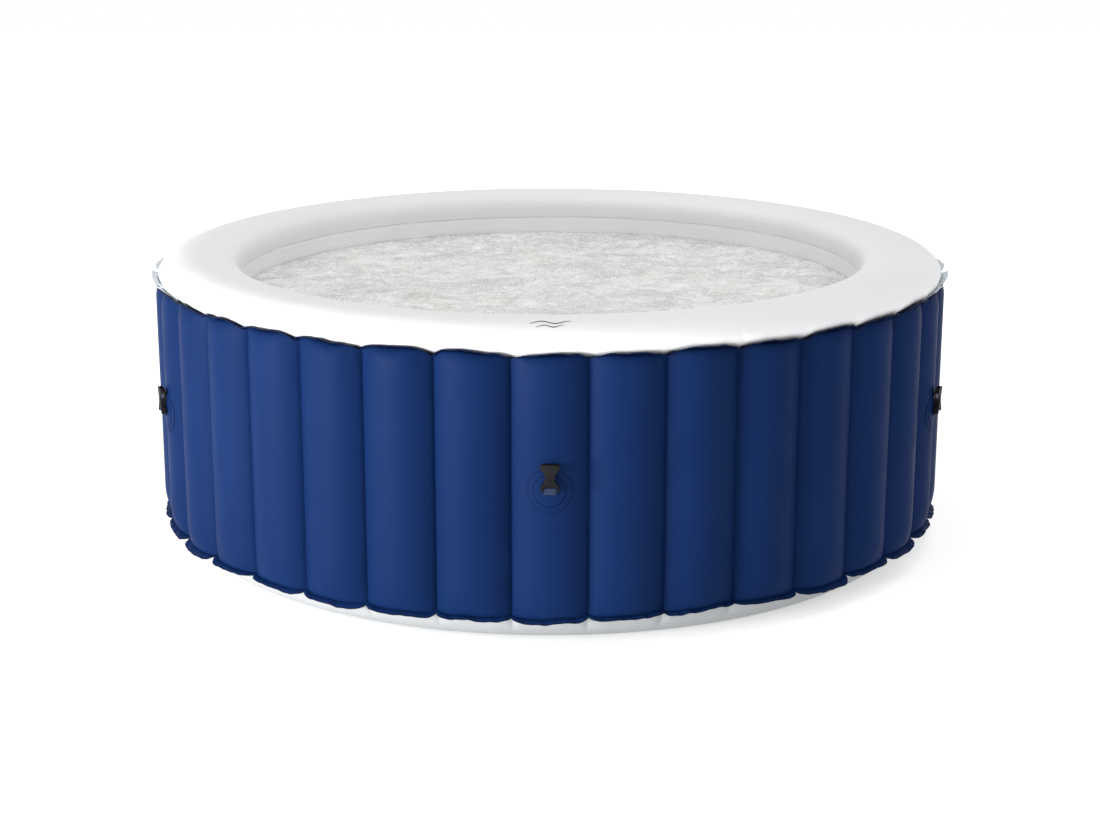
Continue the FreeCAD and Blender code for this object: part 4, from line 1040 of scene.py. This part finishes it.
for tag, flute, height, spig, bore, flange, reach in (("outlet", OUTLET, 0.250, 30.0, 22.0, 55.0, 926.0),
                                                      ("inlet", INLET, 0.250, 30.0, 22.0, 55.0, 926.0),
                                                      ("air", AIR, 0.400, 22.0, 16.0, 42.0, 918.0)):
    parts = [
        lathe_ring("rim", rounded_rim(flange, 890.0, 896.9), 288, 48, 0.7),
        lathe_ring("rib", [(spig + 5.5, 895.4), (spig + 5.9, 896.6), (spig + 6.8, 897.0), (spig + 7.7, 896.6), (spig + 8.1, 895.4)], 96),
        lathe_ring("foot", [(spig - 0.6, 895.0), (spig + 3.4, 895.6), (spig + 2.0, 896.6), (spig + 0.9, 898.0), (spig + 0.3, 900.2), (spig - 0.6, 900.6)], 96),
        thread("thread", spig, 901.6, reach - 3.2, 4.6, 1.25),
        lathe_ring("lip", [(bore + 0.1, reach - 1.2), (bore + 0.5, reach + 0.3), (bore + 1.6, reach + 0.7), (spig - 1.5, reach + 0.7),
                           (spig - 0.2, reach + 0.3), (spig + 0.1, reach - 1.2), (spig - 1.0, reach - 2.0), (bore + 1.0, reach - 2.0)], 96),
    ]
    put("%s_port_detail" % tag, parts, flute, height, "tub", grey_plastic, "grey_plastic")

put("inflation_valve_detail", [
    lathe_ring("rim", rounded_rim(40.0, 889.5, 895.7, 1.2, 4.0), 240, 40, 0.6),
    lathe_ring("rib", [(32.4, 894.4), (32.8, 895.5), (33.6, 895.9), (34.4, 895.5), (34.8, 894.4)], 96),
], VALVE, 0.430, "tub", grey_plastic, "grey_plastic")
put("inflation_cap_grip", [
    lathe_ring("grip", rounded_rim(28.0, 898.6, 913.4, 1.6, 3.0), 288, 36, 0.75),
    lathe_ring("step", [(20.6, 912.4), (20.9, 913.4), (21.6, 913.7), (22.3, 913.4), (22.6, 912.4)], 96),
], VALVE, 0.430, "valve_cap", grey_plastic, "grey_plastic")
put("drain_valve_detail", [
    lathe_ring("rim", rounded_rim(32.0, 890.5, 896.7, 1.2, 4.0), 216, 36, 0.6),
    lathe_ring("rib", [(22.4, 895.4), (22.8, 896.4), (23.6, 896.8), (24.4, 896.4), (24.8, 895.4)], 96),
], DRAIN, 0.112, "tub", grey_plastic, "grey_plastic")
put("drain_cap_grip", [
    lathe_ring("grip", rounded_rim(17.0, 899.4, 922.4, 1.4, 2.4), 216, 24, 0.7),
], DRAIN, 0.112, "drain_cap", grey_plastic, "grey_plastic")


def build_valve_spring():
    """Coil spring under the valve's button; in the real valve it shortens as the button is pressed, here it keeps one
    length.
    """
    z0, z1, mean, wire, turns = 890.55, 897.95, 4.4, 0.42, 4.5
    n = int(turns * 40)
    t = np.linspace(0, 1, n)
    a = t * turns * 2 * math.pi
    dead = 0.16                                    # closed end coils
    u = np.clip((t - dead) / (1 - 2 * dead), 0, 1)
    z = z0 + (z1 - z0) * (u * 0.80 + t * 0.20)
    ring = np.arange(10) / 10 * 2 * math.pi
    P = np.zeros((n, 10, 3))
    for j, b in enumerate(ring):
        r = mean + wire * math.cos(b)
        P[:, j, 0], P[:, j, 1], P[:, j, 2] = r * np.cos(a), r * np.sin(a), z + wire * math.sin(b)
    o = grid_object("valve_return_spring", P, wrap_u=True)
    bm = bmesh.new()
    bm.from_mesh(o.data)
    bmesh.ops.holes_fill(bm, edges=[e for e in bm.edges if e.is_boundary], sides=0)
    bmesh.ops.recalc_face_normals(bm, faces=bm.faces)
    bm.to_mesh(o.data)
    bm.free()
    frame_at = fitting_frame(VALVE, 0.430)
    o.data.transform(frame_at @ Matrix.Scale(0.001, 4))
    ride(smooth_all(o), "tub", steel, "spring_steel", "inflation_valve_spring")
    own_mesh(o)


build_valve_spring()


# ---------------------------------------------------- generic printed mark
def build_mark():
    """Two plain wavy strokes printed on the front of the rim."""
    prof = rim_profile
    order = prof[:, 0].argsort()
    pr, pz = prof[order, 0], prof[order, 1]
    keep = (pz > 0.62)
    pr, pz = pr[keep], pz[keep]
    objs = []
    for n, (centre, width, amp, weight) in enumerate(((0.820, 0.080, 0.0062, 0.0046), (0.838, 0.054, 0.0042, 0.0034))):
        u = np.linspace(-1, 1, 90)
        x = u * width / 2
        line = centre + amp * np.sin(u * math.pi * 1.5 + 0.4) 
        w = weight * (0.25 + 0.75 * (1 - np.abs(u) ** 2.2)) / 2
        rows = []
        for f in (-1, -0.4, 0.4, 1):
            r = line + f * w
            z = np.interp(r, pr, pz) + 0.00035
            th = x / r
            rows.append(around(th, r, z))
        objs.append(grid_object("mark_%d" % n, np.stack(rows), wrap_u=False))
    o = join("printed_wave_mark", objs)
    sol = o.modifiers.new("thick", "SOLIDIFY")
    sol.thickness, sol.offset = 0.0003, 0
    apply_modifiers(o)
    ride(smooth_all(o), "tub", ink, "black_plastic")


build_mark()

# ------------------------------------------- materials for the CAD nodes kept
KEEP = {
    "floor_sheet": inner_white, "air_ring": inner_white, "chamber_webs": web_white,
    "water_outlet_port": grey_plastic, "water_inlet_port": grey_plastic, "air_port": grey_plastic,
    "port_gaskets": rubber, "port_lock_nuts": grey_plastic,
    "outlet_pool_collar": grey_plastic, "inlet_pool_collar": grey_plastic, "drain_pool_collar": grey_plastic, "pool_lock_nuts": grey_plastic,
    "water_outlet_pipe": pipe_plastic, "water_inlet_pipe": pipe_plastic, "drain_pipe": pipe_plastic, "air_hose": pipe_plastic,
    "filter_base": white_plastic, "filter_cover": white_plastic, "filter_cartridge": paper, "return_grille": white_plastic,
    "inflation_valve_base": grey_plastic, "inflation_valve_stem": grey_plastic, "inflation_valve_cap": grey_plastic,
    "drain_valve_body": grey_plastic, "drain_valve_cap": grey_plastic, "drain_cap_washer": rubber, "drain_plug": rubber,
}
for node, material in KEEP.items():
    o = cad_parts[node]
    if not o.material_slots:
        o.data.materials.append(material)
    for sl in o.material_slots:
        sl.material = material

# -------------------------------------------------------------------- stage
floor_mesh = bpy.data.meshes.new("studio_floor")
S = 14.0
floor_mesh.from_pydata([(-S, -S, -0.0006), (S, -S, -0.0006), (S, S, -0.0006), (-S, S, -0.0006)], [], [(0, 1, 2, 3)])
floor = link(bpy.data.objects.new("studio_floor", floor_mesh))
fm, fnt, fb = new_material("studio_paper")
fvec = coords(fnt)
fnt.links.new(ramp(fnt, noise(fnt, fvec, 3.0, 3, 0.5), [(0.3, (0.93, 0.93, 0.93)), (0.7, (0.95, 0.95, 0.95))]), fb.inputs["Base Color"])
fb.inputs["Roughness"].default_value = 0.9
far = nd(fnt, "ShaderNodeVectorMath", operation="LENGTH")
fnt.links.new(fvec, far.inputs[0])
fb.inputs["Emission Color"].default_value = (1.0, 1.0, 1.0, 1.0)
fnt.links.new(remap(fnt, far.outputs["Value"], 1.0, 4.5, 0.34, 0.50), fb.inputs["Emission Strength"])
floor.data.materials.append(fm)

world = bpy.data.worlds.new("studio")
bpy.context.scene.world = world
world.use_nodes = True
wnt = world.node_tree
wnt.nodes["Background"].inputs["Color"].default_value = (1.0, 1.0, 1.0, 1.0)
seen = nd(wnt, "ShaderNodeLightPath")
dim = nd(wnt, "ShaderNodeMapRange")
dim.inputs["To Min"].default_value, dim.inputs["To Max"].default_value = 0.99, 1.0
wnt.links.new(seen.outputs["Is Camera Ray"], dim.inputs["Value"])
wnt.links.new(dim.outputs["Result"], wnt.nodes["Background"].inputs["Strength"])


def area(name, where, aim, size, power, colour=(1, 1, 1)):
    d = bpy.data.lights.new(name, "AREA")
    d.shape, d.size, d.size_y = "RECTANGLE", size[0], size[1]
    d.energy, d.color = power, colour
    o = link(bpy.data.objects.new(name, d))
    o.location = where
    o.rotation_euler = (Vector(aim) - Vector(where)).to_track_quat("-Z", "Y").to_euler()
    return o


area("key_left", (-3.8, -3.2, 0.44), (0, 0, 0.36), (2.4, 0.62), 350)
area("top_soft", (-0.2, -0.3, 4.3), (0, 0, 0.5), (4.5, 4.5), 22)

# ------------------------------------------------------------------- camera
cam_data = bpy.data.cameras.new("camera")
cam = link(bpy.data.objects.new("camera", cam_data))
cam_data.sensor_width = 36.0
cam_data.lens = 68.83
cam.location = (0.0, -4.75, 1.5255)
cam.rotation_euler = (math.radians(90.0 - 15.03), 0.0, 0.0)
cam_data.clip_start, cam_data.clip_end = 0.05, 60.0
bpy.context.scene.camera = cam
bpy.context.scene.view_settings.view_transform = "Standard"
